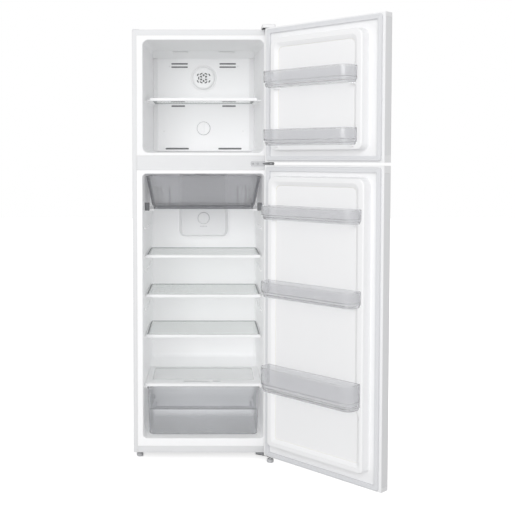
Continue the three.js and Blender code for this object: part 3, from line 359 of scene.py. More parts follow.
def smooth_path(points, steps=10):
    """A curve through the points, by the Catmull-Rom formula on each stretch."""
    points = np.asarray(points, float)
    padded = np.concatenate([2 * points[:1] - points[1:2], points, 2 * points[-1:] - points[-2:-1]])
    p0, p1, p2, p3 = (padded[i:len(padded) - 3 + i, None] for i in range(4))
    t = np.linspace(0, 1, steps, endpoint=False)[:, None]
    curve = 0.5 * (2 * p1 + (p2 - p0) * t + (2 * p0 - 5 * p1 + 4 * p2 - p3) * t**2
                   + (3 * p1 - p0 - 3 * p2 + p3) * t**3)
    return np.concatenate([curve.reshape(-1, 3), points[-1:]])


def holed_sheet(u_lines, v_lines, holes, surface):
    """An open sheet surface(u, v) on a grid, without the cells that lie in a hole.

    A hole is (u0, u1, v0, v1, radius). Its edge on v0 and v1 moves inwards by r - sqrt(r^2 - reach^2)
    near its ends, where reach is how far a line lies inside the corner's radius, so that its corners are
    round.
    """
    quarter = 1 - np.cos(np.linspace(0, math.pi / 2, 6))
    ends = [np.concatenate([u0 + r * quarter, u1 - r * quarter]) for u0, u1, _, _, r in holes]
    edges = [np.array([v0, v1]) for _, _, v0, v1, _ in holes]
    u = np.unique(np.round(np.concatenate([u_lines, *ends]), 6))
    v = np.unique(np.round(np.concatenate([v_lines, *edges]), 6))
    across, up = np.meshgrid(u, v, indexing="ij")
    moved = up.copy()
    keep = np.ones((len(u) - 1, len(v) - 1), bool)
    middle_u, middle_v = (u[1:] + u[:-1]) / 2, (v[1:] + v[:-1]) / 2
    tiny = 2e-6
    for u0, u1, v0, v1, r in holes:
        keep &= ~np.outer((middle_u > u0) & (middle_u < u1), (middle_v > v0) & (middle_v < v1))
        inside = (across > u0 - tiny) & (across < u1 + tiny)
        reach = np.clip(np.maximum(u0 + r - across, across - (u1 - r)), 0, r)
        lift = 0.97 * (r - np.sqrt(r * r - reach * reach))
        moved = np.where(inside & (abs(up - v0) < tiny), v0 + lift, moved)
        moved = np.where(inside & (abs(up - v1) < tiny), v1 - lift, moved)
    points = surface(across, moved).reshape(-1, 3)
    index = np.arange(len(u) * len(v)).reshape(len(u), len(v))
    quads = np.stack([index[:-1, :-1], index[1:, :-1], index[1:, 1:], index[:-1, 1:]], axis=-1)[keep]
    used, compact = np.unique(quads, return_inverse=True)
    return points[used], compact.reshape(-1, 4).tolist()


def smooth_step(value):
    """3t^2 - 2t^3 with t held between 0 and 1."""
    t = np.clip(value, 0, 1)
    return t * t * (3 - 2 * t)


def mirrored(holes):
    """The holes and their mirror images across u = 0."""
    return holes + [(-u1, -u0, v0, v1, r) for u0, u1, v0, v1, r in holes]


def slot_holes(group):
    """The holes of a group of slots on the right, with nearly half round ends."""
    tall = group["tall"]
    return [(*group["reach"], low, low + tall, tall / 2 - 0.0001) for low in group["lows"]]


def painted_slot_shades(group, face, inner, outer):
    """A dark plate of painted shade behind a group of slots, standing in for the hollow behind them, on
    both sides of the middle.
    """
    near, far = face + 0.0045, face + 0.0060
    low, high = min(group["lows"]) - SHADE_MARGIN, max(group["lows"]) + group["tall"] + SHADE_MARGIN
    return [rounded_box((x0, near, low), (x1, far, high), 0.0006, axis=1)
            for x0, x1 in ((-outer, -inner), (inner, outer))]


# ---------- Pieces ----------

def gather(parts):
    """Several solids as one list of points and one of faces."""
    points, faces, start = [], [], 0
    for part_points, part_faces in parts:
        points.append(part_points)
        faces += [[start + i for i in face] for face in part_faces]
        start += len(part_points)
    return np.concatenate(points), faces


def piece(name, body, parts, material, place, replaces=(), sheet=0.0, bevel=0.0):
    """A finished piece: its mesh placed, shaded, thickened or bevelled, and riding on its body."""
    points, faces = gather(parts)
    mesh = bpy.data.meshes.new(name)
    mesh.from_pydata(place(points).tolist(), [], faces)
    mesh.materials.append(material)
    mesh.shade_smooth()
    mesh.set_sharp_from_angle(angle=math.radians(32))
    obj = bpy.data.objects.new(name, mesh)
    bpy.context.scene.collection.objects.link(obj)
    if sheet:
        wall = obj.modifiers.new("wall", "SOLIDIFY")
        wall.thickness = sheet
        wall.offset = -1
    if bevel:
        edge = obj.modifiers.new("edge", "BEVEL")
        edge.width = bevel
        edge.segments = 2
        edge.limit_method = "ANGLE"
        edge.angle_limit = math.radians(40)
    normals = obj.modifiers.new("flat faces", "WEIGHTED_NORMAL")
    normals.keep_sharp = True
    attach(obj, body)
    if replaces:
        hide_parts(*replaces)
    return obj


# ---------- Materials ----------

def surface_group():
    """A node group that gives fine grain, broad mottle and settled dust for any finish.

    Height and Mottle are noise at two scales. Dust is a noise mask held to faces that look up.
    """
    if "surface_detail" in bpy.data.node_groups:
        return bpy.data.node_groups["surface_detail"]
    group = bpy.data.node_groups.new("surface_detail", "ShaderNodeTree")
    for name, default in (("Grain Scale", 900.0), ("Mottle Scale", 7.0), ("Dust Amount", 0.3)):
        socket = group.interface.new_socket(name, in_out="INPUT", socket_type="NodeSocketFloat")
        socket.default_value = default
    for name in ("Height", "Mottle", "Dust"):
        group.interface.new_socket(name, in_out="OUTPUT", socket_type="NodeSocketFloat")
    nodes, links = group.nodes, group.links
    inputs = nodes.new("NodeGroupInput")
    outputs = nodes.new("NodeGroupOutput")
    place = nodes.new("ShaderNodeTexCoord")

    def noise(scale_socket, detail):
        node = nodes.new("ShaderNodeTexNoise")
        node.inputs["Detail"].default_value = detail
        links.new(place.outputs["Object"], node.inputs["Vector"])
        links.new(scale_socket, node.inputs["Scale"])
        return node

    grain = noise(inputs.outputs["Grain Scale"], 3.0)
    mottle = noise(inputs.outputs["Mottle Scale"], 5.0)
    links.new(grain.outputs["Fac"], outputs.inputs["Height"])
    links.new(mottle.outputs["Fac"], outputs.inputs["Mottle"])
    facing = nodes.new("ShaderNodeNewGeometry")
    split = nodes.new("ShaderNodeSeparateXYZ")
    links.new(facing.outputs["Normal"], split.inputs["Vector"])
    upward = nodes.new("ShaderNodeMapRange")
    upward.inputs["From Min"].default_value = 0.75
    upward.inputs["From Max"].default_value = 1.0
    links.new(split.outputs["Z"], upward.inputs["Value"])
    speckle = nodes.new("ShaderNodeMath")
    speckle.operation = "MULTIPLY"
    links.new(upward.outputs["Result"], speckle.inputs[0])
    links.new(mottle.outputs["Fac"], speckle.inputs[1])
    amount = nodes.new("ShaderNodeMath")
    amount.operation = "MULTIPLY"
    links.new(speckle.outputs["Value"], amount.inputs[0])
    links.new(inputs.outputs["Dust Amount"], amount.inputs[1])
    links.new(amount.outputs["Value"], outputs.inputs["Dust"])
    return group


def lit_through(nodes, links, shader, colour):
    """The shader for rays that see it, and plain tinted transparency for rays that only carry light."""
    path = nodes.new("ShaderNodeLightPath")
    carries = nodes.new("ShaderNodeMath")
    carries.operation = "MAXIMUM"
    links.new(path.outputs["Is Shadow Ray"], carries.inputs[0])
    links.new(path.outputs["Is Diffuse Ray"], carries.inputs[1])
    clear = nodes.new("ShaderNodeBsdfTransparent")
    clear.inputs["Color"].default_value = (*(math.sqrt(channel) for channel in colour), 1.0)
    mix = nodes.new("ShaderNodeMixShader")
    links.new(carries.outputs["Value"], mix.inputs["Fac"])
    links.new(shader.outputs["BSDF"], mix.inputs[1])
    links.new(clear.outputs["BSDF"], mix.inputs[2])
    return mix.outputs["Shader"]


def finish(name, colour, roughness, grain=900.0, bump=0.05, mottle=0.03, dust=0.15, metallic=0.0,
           transmission=0.0, ior=1.45, coat=0.0, glow=0.0, spread_of_gloss=0.06):
    """A Principled material whose colour, gloss and relief vary with the shared surface group."""
    if name in bpy.data.materials:
        return bpy.data.materials[name]
    material = bpy.data.materials.new(name)
    material.use_nodes = True
    nodes, links = material.node_tree.nodes, material.node_tree.links
    nodes.clear()
    output = nodes.new("ShaderNodeOutputMaterial")
    shader = nodes.new("ShaderNodeBsdfPrincipled")
    if transmission:
        links.new(lit_through(nodes, links, shader, colour), output.inputs["Surface"])
    else:
        links.new(shader.outputs["BSDF"], output.inputs["Surface"])
    detail = nodes.new("ShaderNodeGroup")
    detail.node_tree = surface_group()
    detail.inputs["Grain Scale"].default_value = grain
    detail.inputs["Dust Amount"].default_value = dust
    shader.inputs["Metallic"].default_value = metallic
    shader.inputs["Transmission Weight"].default_value = transmission
    shader.inputs["IOR"].default_value = ior
    shader.inputs["Coat Weight"].default_value = coat
    shader.inputs["Coat Roughness"].default_value = 0.08
    # glow is painted light: emission on surfaces that are no lamp.
    shader.inputs["Emission Color"].default_value = (1, 1, 1, 1)
    shader.inputs["Emission Strength"].default_value = glow

    def mixed(factor, first, second):
        mix = nodes.new("ShaderNodeMix")
        mix.data_type = "RGBA"
        links.new(factor, mix.inputs["Factor"])
        if isinstance(first, tuple):
            mix.inputs[6].default_value = first
        else:
            links.new(first, mix.inputs[6])
        mix.inputs[7].default_value = second
        return mix.outputs[2]

    full = (*colour, 1.0)
    darker = tuple(channel * (1 - mottle) for channel in colour) + (1.0,)
    toned = mixed(detail.outputs["Mottle"], darker, full)
    dust_colour = (0.62, 0.61, 0.58)
    dusty = tuple(0.75 * channel + 0.25 * grey for channel, grey in zip(colour, dust_colour)) + (1.0,)
    links.new(mixed(detail.outputs["Dust"], toned, dusty), shader.inputs["Base Color"])
    gloss = nodes.new("ShaderNodeMapRange")
    gloss.inputs["To Min"].default_value = max(roughness - spread_of_gloss, 0.0)
    gloss.inputs["To Max"].default_value = roughness + spread_of_gloss
    links.new(detail.outputs["Mottle"], gloss.inputs["Value"])
    links.new(gloss.outputs["Result"], shader.inputs["Roughness"])
    relief = nodes.new("ShaderNodeBump")
    relief.inputs["Strength"].default_value = bump
    relief.inputs["Distance"].default_value = 0.0002
    links.new(detail.outputs["Height"], relief.inputs["Height"])
    links.new(relief.outputs["Normal"], shader.inputs["Normal"])
    return material


def finish_setting(name):
    """A value from the finish settings."""
    return getattr(bpy.context.scene.fridge_finish, name)


def enamel():
    """White powder enamel with fine orange peel."""
    return finish("white_enamel", tuple(finish_setting("enamel")), 0.56, grain=420.0, bump=0.12,
                  mottle=0.02, coat=0.04)


def liner_plastic(space="freezer"):
    """Smooth vacuum formed liner sheet, with a painted glow in it that stands in for the light bounced
    round its compartment; the liner is no lamp.
    """
    return finish(f"{space}_liner_sheet", tuple(finish_setting("liner")), 0.46, grain=700.0, bump=0.05,
                  mottle=0.02, glow=finish_setting(f"{space}_light"))


def moulding(name, glow=0.0):
    """Moulded white plastic with a fine spark texture."""
    return finish(name, tuple(finish_setting("plastic")), 0.42, grain=1600.0, bump=0.12, mottle=0.02,
                  glow=glow)


def white_plastic():
    """Moulded plastic outside the compartments."""
    return moulding("white_moulding")


def inner_plastic():
    """Moulded plastic inside the compartments, with a painted glow in it that stands in for the light
    bounced round them.
    """
    return moulding("inner_moulding", finish_setting("fitting_light"))


def gasket_vinyl():
    """Soft white vinyl."""
    return finish("gasket_vinyl", (0.70, 0.705, 0.72), 0.55, grain=500.0, bump=0.10, mottle=0.05)


def smoke(name, tint, roughness=0.22):
    """Clear grey plastic of a given tint."""
    return finish(name, tuple(tint), roughness, grain=240.0, bump=0.10, mottle=0.05, dust=0.05,
                  transmission=0.92, ior=1.40, spread_of_gloss=0.04)


def clear_smoke():
    """The light tint of the door bins and the lamp's lens."""
    return smoke("clear_smoke", finish_setting("smoke"))


def crisper_smoke():
    """The middle tint of the crisper drawer."""
    return smoke("crisper_smoke", finish_setting("crisper_smoke"))


def deep_smoke():
    """The dark tint of the chiller drawer."""
    return smoke("deep_smoke", finish_setting("deep_smoke"), 0.12)


def shelf_glass():
    """Tempered glass with a faint green tint."""
    return finish("shelf_glass", (0.996, 0.998, 0.998), 0.02, grain=60.0, bump=0.01, mottle=0.01, dust=0.04,
                  transmission=1.0, ior=1.12, spread_of_gloss=0.01)


def cover_glass():
    """Tempered glass with a pale print on its under side, which hides what is below it."""
    return finish("cover_glass", (0.93, 0.935, 0.937), 0.10, grain=60.0, bump=0.01, mottle=0.01, dust=0.04,
                  transmission=0.35, ior=1.30, spread_of_gloss=0.01)


def glass_edge():
    """The ground edge of tempered glass, which looks dark from the side."""
    return finish("glass_edge", (0.16, 0.18, 0.185), 0.30, grain=900.0, bump=0.10, mottle=0.15, dust=0.0,
                  transmission=0.30)


def zinc():
    """Zinc plated steel."""
    return finish("zinc_plate", (0.40, 0.405, 0.415), 0.46, grain=260.0, bump=0.06, mottle=0.18,
                  metallic=1.0, spread_of_gloss=0.12)


def dark_plastic():
    """Dark grey translucent clips, and the dark plates and lines of painted shade."""
    return finish("dark_clip", (0.16, 0.165, 0.175), 0.35, grain=900.0, bump=0.08, mottle=0.10)


def grey_plastic():
    """Grey moulded plastic, also used for the painted shadow round the knobs."""
    return finish("grey_moulding", (0.30, 0.305, 0.32), 0.50, grain=1200.0, bump=0.15, mottle=0.10)


def foot_rubber():
    """Light grey foot plastic."""
    return finish("foot_plastic", (0.66, 0.665, 0.68), 0.45, grain=900.0, bump=0.12, mottle=0.08)


def foam():
    """Rigid insulation foam."""
    return finish("rigid_foam", (0.78, 0.70, 0.48), 0.90, grain=420.0, bump=0.60, mottle=0.20)


def black_paint():
    """Black chassis paint."""
    return finish("black_paint", (0.025, 0.026, 0.028), 0.42, grain=380.0, bump=0.15, mottle=0.30)


def copper():
    """Drawn copper pipe."""
    return finish("copper_pipe", (0.68, 0.36, 0.24), 0.30, grain=300.0, bump=0.05, mottle=0.25,
                  metallic=1.0)


def fin_aluminium():
    """Plain aluminium fin stock."""
    return finish("fin_aluminium", (0.75, 0.76, 0.78), 0.35, grain=400.0, bump=0.08, mottle=0.12,
                  metallic=1.0)


# ---------- Cabinet ----------

def cabinet_skin():
    """The folded steel wrap: one closed section carried up one side, over the top and down the other.

    The section runs along the front flange, round the fold, back along the side and returns one sheet
    inside it.
    """
    settings = bpy.context.scene.fridge_shell
    low, high = cabinet_box("cabinet_shell")
    turn = np.linspace(0, math.pi / 2, 5)
    fold, inner = settings.fold, settings.fold - SKIN
    outer_inset = fold * (1 - np.sin(turn))
    outer_depth = fold * (1 - np.cos(turn))
    inner_inset = fold - inner * np.cos(turn)
    inner_depth = fold - inner * np.sin(turn)
    side = np.concatenate([[SIDE_FLANGE], outer_inset, [0, SKIN], inner_inset, [SIDE_FLANGE]])
    top = side.copy()
    top[[0, -1]] = TOP_FLANGE
    depth = np.concatenate([[0], outer_depth, [high[1], high[1]], inner_depth, [SKIN]])
    steps = settings.arc_steps
    radius = np.maximum(0.004 - side, 0.0003)
    outline = round_outline(low[0] + side, high[0] - side, low[2], high[2] - top, radius, steps)
    upper = outline[:, 2 * (steps + 1):]
    right, left = upper[:, :1].copy(), upper[:, -1:].copy()
    right[..., 1] = low[2]
    left[..., 1] = low[2]
    path = np.concatenate([right, upper, left], axis=1)
    return loft(at_depth(path, depth).transpose(1, 0, 2))


def back_panel():
    """A flat sheet with three fields pressed outwards: press times smooth steps up from their edges."""
    low, high = cabinet_box("cabinet_back_panel")
    centres = np.linspace(low[2], high[2], 7)[1::2]
    field_half, field_rise, border, press = 0.215, 0.190, 0.014, 0.0012

    def surface(u, v):
        across = smooth_step((field_half - abs(u)) / border)
        up = sum(smooth_step((field_rise - abs(v - centre)) / border) for centre in centres)
        return np.stack([-u, high[1] + press * across * up, v], axis=-1)

    return holed_sheet(np.linspace(low[0], high[0], 90), np.linspace(low[2], high[2], 200), [], surface)


def front_strip(node):
    """A folded steel strip behind the front plane, with soft edges and a rolled bead along its middle."""
    low, high = cabinet_box(node)
    setback, bead_half, bead_end = 0.0002, 0.0006, 0.020
    middle = (low[2] + high[2]) / 2
    strip = rounded_box(low + [0, setback, 0], high, 0.0010, axis=0)
    bead = rounded_box((low[0] + bead_end, low[1], middle - bead_half),
                       (high[0] - bead_end, low[1] + 6 * setback, middle + bead_half), 0.0003, axis=0)
    return [strip, bead]


class FRIDGE_OT_cabinet(bpy.types.Operator):
    """Build the cabinet's steel skin, back panel, front strips and corner cap"""
    bl_idname = "fridge.cabinet"
    bl_label = "Cabinet"

    def execute(self, context):
        piece("cabinet_skin", "cabinet", [cabinet_skin()], enamel(), in_cabinet,
              ["cabinet_shell"])
        piece("back_panel_pressed", "cabinet", [back_panel()], enamel(), in_cabinet,
              ["cabinet_back_panel"], sheet=0.0008)
        for node in ("center_mullion", "bottom_rail"):
            piece(f"{node}_strip", "cabinet", front_strip(node), enamel(), in_cabinet,
                  [node])
        low, high = cabinet_box("top_corner_cap")
        piece("corner_cap", "cabinet", [rounded_box(low, high, 0.0009, axis=2)], white_plastic(),
              in_cabinet, ["top_corner_cap"])
        return {"FINISHED"}


# ---------- Liners ----------

def wall_half(space, y):
    """Half the width between a compartment's walls: straight taper from the mouth to the back fillet."""
    share = np.clip(np.asarray(y, float) / (space["depth"] - space["fillet"]), 0, 1)
    return space["half"] + (space["back_half"] - space["half"]) * share


def floor_line(space):
    """The floor's stations from front to back, as depths and heights."""
    if space is FREEZER:
        depth = np.array([0.012, 0.22])
        share = depth / (space["depth"] - space["fillet"])
        return depth, space["low"] + (space["back_low"] - space["low"]) * share
    turn = np.linspace(0, math.pi / 2, 6)
    radius = space["fillet"]
    foot_y = STEP["front"] - radius + radius * np.sin(turn)
    foot_z = space["low"] + radius * (1 - np.cos(turn))
    nose = 0.005
    nose_y = STEP["front"] + 0.0003 + nose * (1 - np.cos(turn))
    nose_z = STEP["height"] - nose + nose * (1 + STEP["slope"]) * np.sin(turn)
    return (np.concatenate([[0.012], foot_y, nose_y]), np.concatenate([[space["low"]], foot_z, nose_z]))


def back_floor(space, y):
    """Height of the floor where it meets the back fillet."""
    if space is FREEZER:
        return np.full_like(y, space["back_low"])
    return STEP["height"] + (y - STEP["front"]) * STEP["slope"]


def liner_shell(space, frame_low, frame_high):
    """A vacuum formed liner as one closed loft.

    Stations run forwards along the inside from the back wall, round the lip onto the front flange, and
    back along the outside one sheet further out. Each is a round-cornered rectangle whose sides follow
    the wall's taper.
    """
    settings = bpy.context.scene.fridge_shell
    steps, lip = settings.arc_steps, settings.lip
    turn = np.linspace(0, math.pi / 2, steps)
    lip_y = JOINT_GAP + lip * (1 - np.cos(turn))
    lip_grow = lip * (1 - np.sin(turn))
    fillet = space["fillet"]
    back_y = space["depth"] - fillet * (1 - np.sin(turn))
    back_grow = -fillet * (1 - np.cos(turn))
    floor_y, floor_z = floor_line(space)

    def rings(y, grow, low, deeper):
        half = wall_half(space, y) + grow
        radius = space["corner"] + np.maximum(grow, 0)
        outline = round_outline(-half, half, low - grow, space["high"] + grow, radius, steps)
        return at_depth(outline, y + deeper)

    flange_half = SKIN_HIGH.x - CABINET_ORIGIN[0] - SIDE_FLANGE - JOINT_GAP
    flange = round_outline(-flange_half, flange_half, frame_low, frame_high, 0.001, steps)
    lip_low = np.full(len(lip_y), space["low"])
    level = np.zeros(len(floor_y))
    return loft(np.concatenate([
        rings(back_y, back_grow, back_floor(space, back_y), 0)[::-1],
        rings(floor_y, level, floor_z, 0)[::-1],
        rings(lip_y, lip_grow, lip_low, 0)[::-1],
        at_depth(flange, JOINT_GAP),
        at_depth(flange, JOINT_GAP + WALL),
        rings(floor_y, level + WALL, floor_z, WALL),
        rings(back_y, back_grow + WALL, back_floor(space, back_y), WALL),
    ]))


def ledge(space, inner, y0, y1, z0, z1, side):
    """A moulded shelf ledge: round-cornered sections along the wall, rounded down at both ends."""
    radius = 0.0018
    turn = np.linspace(0, math.pi / 2, 4)
    inset = radius * (1 - np.sin(turn))
    rise = radius * (1 - np.cos(turn))
    y = np.concatenate([y0 + rise, y1 - rise[::-1]])
    inset = np.concatenate([inset, inset[::-1]])
    wall = wall_half(space, y) + WALL / 2
    outline = round_outline(inner + inset, wall, z0 + inset, z1 - inset, radius * 0.8, 4)
    rings = at_depth(outline, y)
    rings[..., 0] *= side
    return loft(rings)


def both_ledges(space, inner, depths, top):
    """The same ledge on the left and the right wall."""
    return [ledge(space, inner, *depths, top - LEDGE_HEIGHT, top, side) for side in (-1, 1)]


def shelf_ledges(space, shelf):
    """The pair of ledges under a shelf's glass, behind its trim."""
    low, high = cabinet_box(f"{shelf}_glass")
    trim_back = cabinet_box(f"{shelf}_trim")[1][1]
    return both_ledges(space, high[0] - LEDGE_OVERLAP, (trim_back, high[1]), low[2] - JOINT_GAP)


def chiller_clips(rail_top):
    """A dark clip at the front of each of the chiller's rails: a block and a thinner tongue before it."""
    inner, front, tall, setin = 0.216, 0.0982, 1.006, 0.003
    wall = wall_half(FRIDGE, 0.1) - 0.0005
    clips = []
    for side in (-1, 1):
        left, right = sorted((side * inner, side * wall))
        clips.append(rounded_box((left, front, rail_top - LEDGE_HEIGHT), (right, 0.110, tall), 0.002,
                                 axis=1))
        clips.append(rounded_box((left + setin, front - 0.0007, rail_top),
                                 (right - setin, 0.100, tall - 0.008), 0.001, axis=1))
    return clips


class FRIDGE_OT_liners(bpy.types.Operator):
    """Build the two vacuum formed liners with their shelf ledges"""
    bl_idname = "fridge.liners"
    bl_label = "Liners"

    def execute(self, context):
        mullion_low, mullion_high = cabinet_box("center_mullion")
        parts = [liner_shell(FREEZER, mullion_high[2] + JOINT_GAP, SKIN_HIGH.z - TOP_FLANGE - JOINT_GAP)]
        parts += shelf_ledges(FREEZER, "freezer_shelf")
        piece("freezer_liner_formed", "cabinet", parts, liner_plastic(), in_cabinet,
              ["freezer_liner"])

        rail_high = cabinet_box("bottom_rail")[1]
        parts = [liner_shell(FRIDGE, rail_high[2] + JOINT_GAP, mullion_low[2] - JOINT_GAP)]
        for number, rise in enumerate(SPARE_LEDGE_RISES, 1):
            shelf = f"fridge_shelf_{number}"
            glass_high = cabinet_box(f"{shelf}_glass")[1]
            parts += shelf_ledges(FRIDGE, shelf)
            for depths in SPARE_LEDGE_DEPTHS:
                parts += both_ledges(FRIDGE, glass_high[0], depths, glass_high[2] + rise)
        rail_top = cabinet_box("chiller_drawer")[0][2] - JOINT_GAP
        parts += both_ledges(FRIDGE, CHILLER["bottom_half"] - LEDGE_OVERLAP, (0.112, 0.392), rail_top)
        cover_under = cabinet_box("crisper_cover_frame")[0][2] - JOINT_GAP
        parts += both_ledges(FRIDGE, CRISPER["top_half"] + 0.001, (0.060, STEP["front"]), cover_under)
        piece("fridge_liner_formed", "cabinet", parts, liner_plastic("fridge"), in_cabinet,
              ["fridge_liner"])
        piece("chiller_clips", "cabinet", chiller_clips(rail_top), dark_plastic(), in_cabinet)
        return {"FINISHED"}


# ---------- Freezer fittings ----------

def evaporator_cover():
    """The flat cover with slanted edges and its sloping top strip, both with air slots.

    The cover follows a plan line of straight stretches: u is the distance along that line, measured from
    the middle. The strip rises from the cover to the ceiling, and is as wide as the round-cornered liner
    allows.
    """
    wall_y = COVER["edge_face"] + 0.0015
    touch = wall_half(FREEZER, wall_y) - JOINT_GAP
    right_x = np.array([COVER["half"], COVER["edge_half"], touch])
    right_y = np.array([COVER["face"], COVER["edge_face"], wall_y])
    plan_x = np.concatenate([-right_x[::-1], right_x])
    plan_y = np.concatenate([right_y[::-1], right_y])
    length = np.concatenate([[0], np.cumsum(np.hypot(np.diff(plan_x), np.diff(plan_y)))])
    length -= length[-1] / 2
    sill = FREEZER["back_low"] + 0.0008

    def face(u, v):
        return np.stack([np.interp(u, length, plan_x), np.interp(u, length, plan_y), v], axis=-1)

    slots = mirrored([hole for group in COVER_SLOTS for hole in slot_holes(group)])
    u_lines = np.unique(np.concatenate([np.linspace(length[0], length[-1], 60), length]))
    panel = holed_sheet(u_lines, np.linspace(sill, COVER["high"], 24), slots, face)

    run = COVER["face"] - COVER["strip_front"]
    rise = FREEZER["high"] - 0.0006 - COVER["high"]
    corner = FREEZER["corner"]
    wide = wall_half(FREEZER, COVER["face"])

    def strip(u, v):
        y = COVER["face"] - v
        z = COVER["high"] + v * rise / run
        up = np.clip(z - (FREEZER["high"] - corner), 0, corner)
        half = wall_half(FREEZER, y) - 0.001 - corner + np.sqrt(corner**2 - up**2)
        return np.stack([u / wide * half, y, z], axis=-1)

    top_slots = mirrored([(0.067, 0.136, 0.048, 0.057, 0.0043)])
    top = holed_sheet(np.linspace(-wide, wide, 50), np.linspace(0, run, 14), top_slots, strip)
    return [panel, top]


def fan_cap():
    """A round domed cap pierced by two rings of petals.

    u is the angle round the cap and v the share of its radius: (u, v) lies at v (cos u, sin u). The face
    is flat but for a shallow dome v^2, and its rim turns back by a smooth step.
    """
    low, high = cabinet_box("fan_cap")
    radius = (high[0] - low[0]) / 2
    petal, gap = math.pi / 3, 0.22
    petals = [(k * petal + gap, (k + 1) * petal - gap, 0.16, 0.34, 0.08) for k in range(6)]
    petals += [((k + 0.5) * petal + gap, (k + 1.5) * petal - gap, 0.40, 0.50, 0.045) for k in range(5)]
    wide = 1.5 * gap
    petals += [(k * petal + wide, (k + 1) * petal - wide, 0.56, 0.66, 0.045) for k in (0, 2, 3, 5)]

    def surface(u, v):
        y = low[1] + 0.0012 * v**2 + 0.0040 * smooth_step((v - 0.88) / 0.12)
        return np.stack([v * radius * np.cos(u), y, FAN_HEIGHT + v * radius * np.sin(u)], axis=-1)

    return holed_sheet(np.linspace(0, 2 * math.pi, 49), np.linspace(0.02, 1, 24), petals, surface)


def raised_ring(radius, width, y, height, z):
    """A low round-topped ring on a vertical face: a half circle section turned about the Y axis."""
    angle = np.linspace(0, math.pi, 7)
    profile = np.stack([radius + width / 2 * np.cos(angle), y - height * np.sin(angle)], axis=1)
    around = np.arange(72) * 2 * math.pi / 72
    rings = np.stack([
        profile[:, :1] * np.cos(around),
        np.broadcast_to(profile[:, 1:], (len(profile), len(around))),
        z + profile[:, :1] * np.sin(around),
    ], axis=-1)
    return loft(rings, wrap=True)


def knob_parts(node, face):
    """A turned knob with a shallow dish in its face and a raised grip bar."""
    low, high = cabinet_box(node)
    radius, height = (high[0] - low[0]) / 2, (low[2] + high[2]) / 2
    front = low[1] + 0.004
    turn = np.linspace(0, math.pi / 2, 6)
    edge = 0.0025
    profile = [(0.0004, front + 0.0012), (radius * 0.74, front + 0.0010), (radius * 0.84, front)]
    profile += [(radius - edge + edge * math.sin(a), front + edge * (1 - math.cos(a))) for a in turn]
    profile += [(radius, face - 0.0004), (0.006, face - 0.0004), (0.006, face + 0.004)]
    grip_half, grip_reach = 0.0028, 0.70 * radius
    grip = rounded_box((-grip_half, low[1], height - grip_reach),
                       (grip_half, front + 0.002, height + grip_reach), grip_half / 2, axis=2)
    return [turned(profile, (0, 0, height), axis=1, sides=64), grip]


def knob_shadow_disc(node, face):
    """A thin dark disc behind a knob, a little wider than it: painted shadow that shows as the gap round
    it.
    """
    low, high = cabinet_box(node)
    height = (low[2] + high[2]) / 2
    bore, radius = 0.0072, (high[0] - low[0]) / 2 + 0.0014
    near, far = face - 0.0003, face - 0.0001
    profile = [(bore, near), (radius, near), (radius, far), (bore, far)]
    return turned(profile, (0, 0, height), axis=1, sides=64)


def screw_head(x, y, z):
    """A pan head screw on a vertical face, with a round recess."""
    profile = [(0.0007, y - 0.0004), (0.0010, y - 0.0016), (0.0026, y - 0.0014)]
    profile += [(0.0034, y - 0.0005), (0.0034, y)]
    return turned(profile, (x, 0, z), axis=1, sides=24)


class FRIDGE_OT_freezer(bpy.types.Operator):
    """Build the evaporator cover, fan cap and freezer control knob"""
    bl_idname = "fridge.freezer_fittings"
    bl_label = "Freezer Fittings"

    def execute(self, context):
        sheet = context.scene.fridge_fittings.sheet
        piece("evaporator_cover_panel", "cabinet", evaporator_cover(), liner_plastic(), in_cabinet,
              ["evaporator_cover"], sheet=sheet)
        face = COVER["face"]
        trims = [raised_ring(0.0545, 0.0040, face + 0.0002, 0.0030, FAN_HEIGHT),
                 raised_ring(0.0485, 0.0020, face + 0.0002, 0.0016, FAN_HEIGHT)]
        piece("fan_ring", "cabinet", trims, liner_plastic(), in_cabinet)
        # The dark plates behind the cover's slots and the fan's petals are painted shade for the hollow
        # behind them.
        shades = [shade for group in COVER_SLOTS for shade in painted_slot_shades(group, face, 0.060, 0.168)]
        fan_painted_shade = [(0.0005, face - 0.0030), (0.038, face - 0.0030), (0.039, face - 0.0022),
                     (0.039, face - 0.0006)]
        shades.append(turned(fan_painted_shade, (0, 0, FAN_HEIGHT), axis=1, sides=48))
        # A dark disc round the knob: painted shadow for the gap round it.
        piece("freezer_knob_well", "cabinet", [knob_shadow_disc("freezer_control_knob", face)], grey_plastic(),
              in_cabinet)
        piece("air_channel_shades", "cabinet", shades, dark_plastic(), in_cabinet)
        screws = [screw_head(side * reach, face, height)
                  for reach, height in COVER_SCREWS for side in (-1, 1)]
        piece("evaporator_cover_screws", "cabinet", screws, white_plastic(), in_cabinet)
        piece("fan_cap_grille", "cabinet", [fan_cap()], inner_plastic(), in_cabinet,
              ["fan_cap"], sheet=0.0016)
        piece("freezer_knob", "freezer_control_knob", knob_parts("freezer_control_knob", face),
              inner_plastic(), in_cabinet, ["freezer_control_knob"])
        return {"FINISHED"}


# ---------- Shelves ----------

def glass_plate(low, high, corner, edge):
    """A flat plate with round corners: its outline is smaller by e (1 - sin a) near both faces."""
    turn = np.linspace(0, math.pi / 2, 4)
    inset = edge * (1 - np.sin(turn))
    rise = edge * (1 - np.cos(turn))
    inset = np.concatenate([inset, inset[::-1]])
    height = np.concatenate([low[2] + rise, high[2] - rise[::-1]])
    outline = round_outline(low[0] + inset, high[0] - inset, low[1] + inset, high[1] - inset, corner, 6)
    return loft(at_height(outline, height))


def edge_faces(obj, material):
    """Gives the upright faces of a plate a material of their own."""
    mesh = obj.data
    mesh.materials.append(material)
    normals = np.empty(3 * len(mesh.polygons), np.float32)
    mesh.polygons.foreach_get("normal", normals)
    upright = abs(normals.reshape(-1, 3)[:, 2]) < 0.5
    mesh.polygons.foreach_set("material_index", upright.astype(np.int32))
    mesh.update()


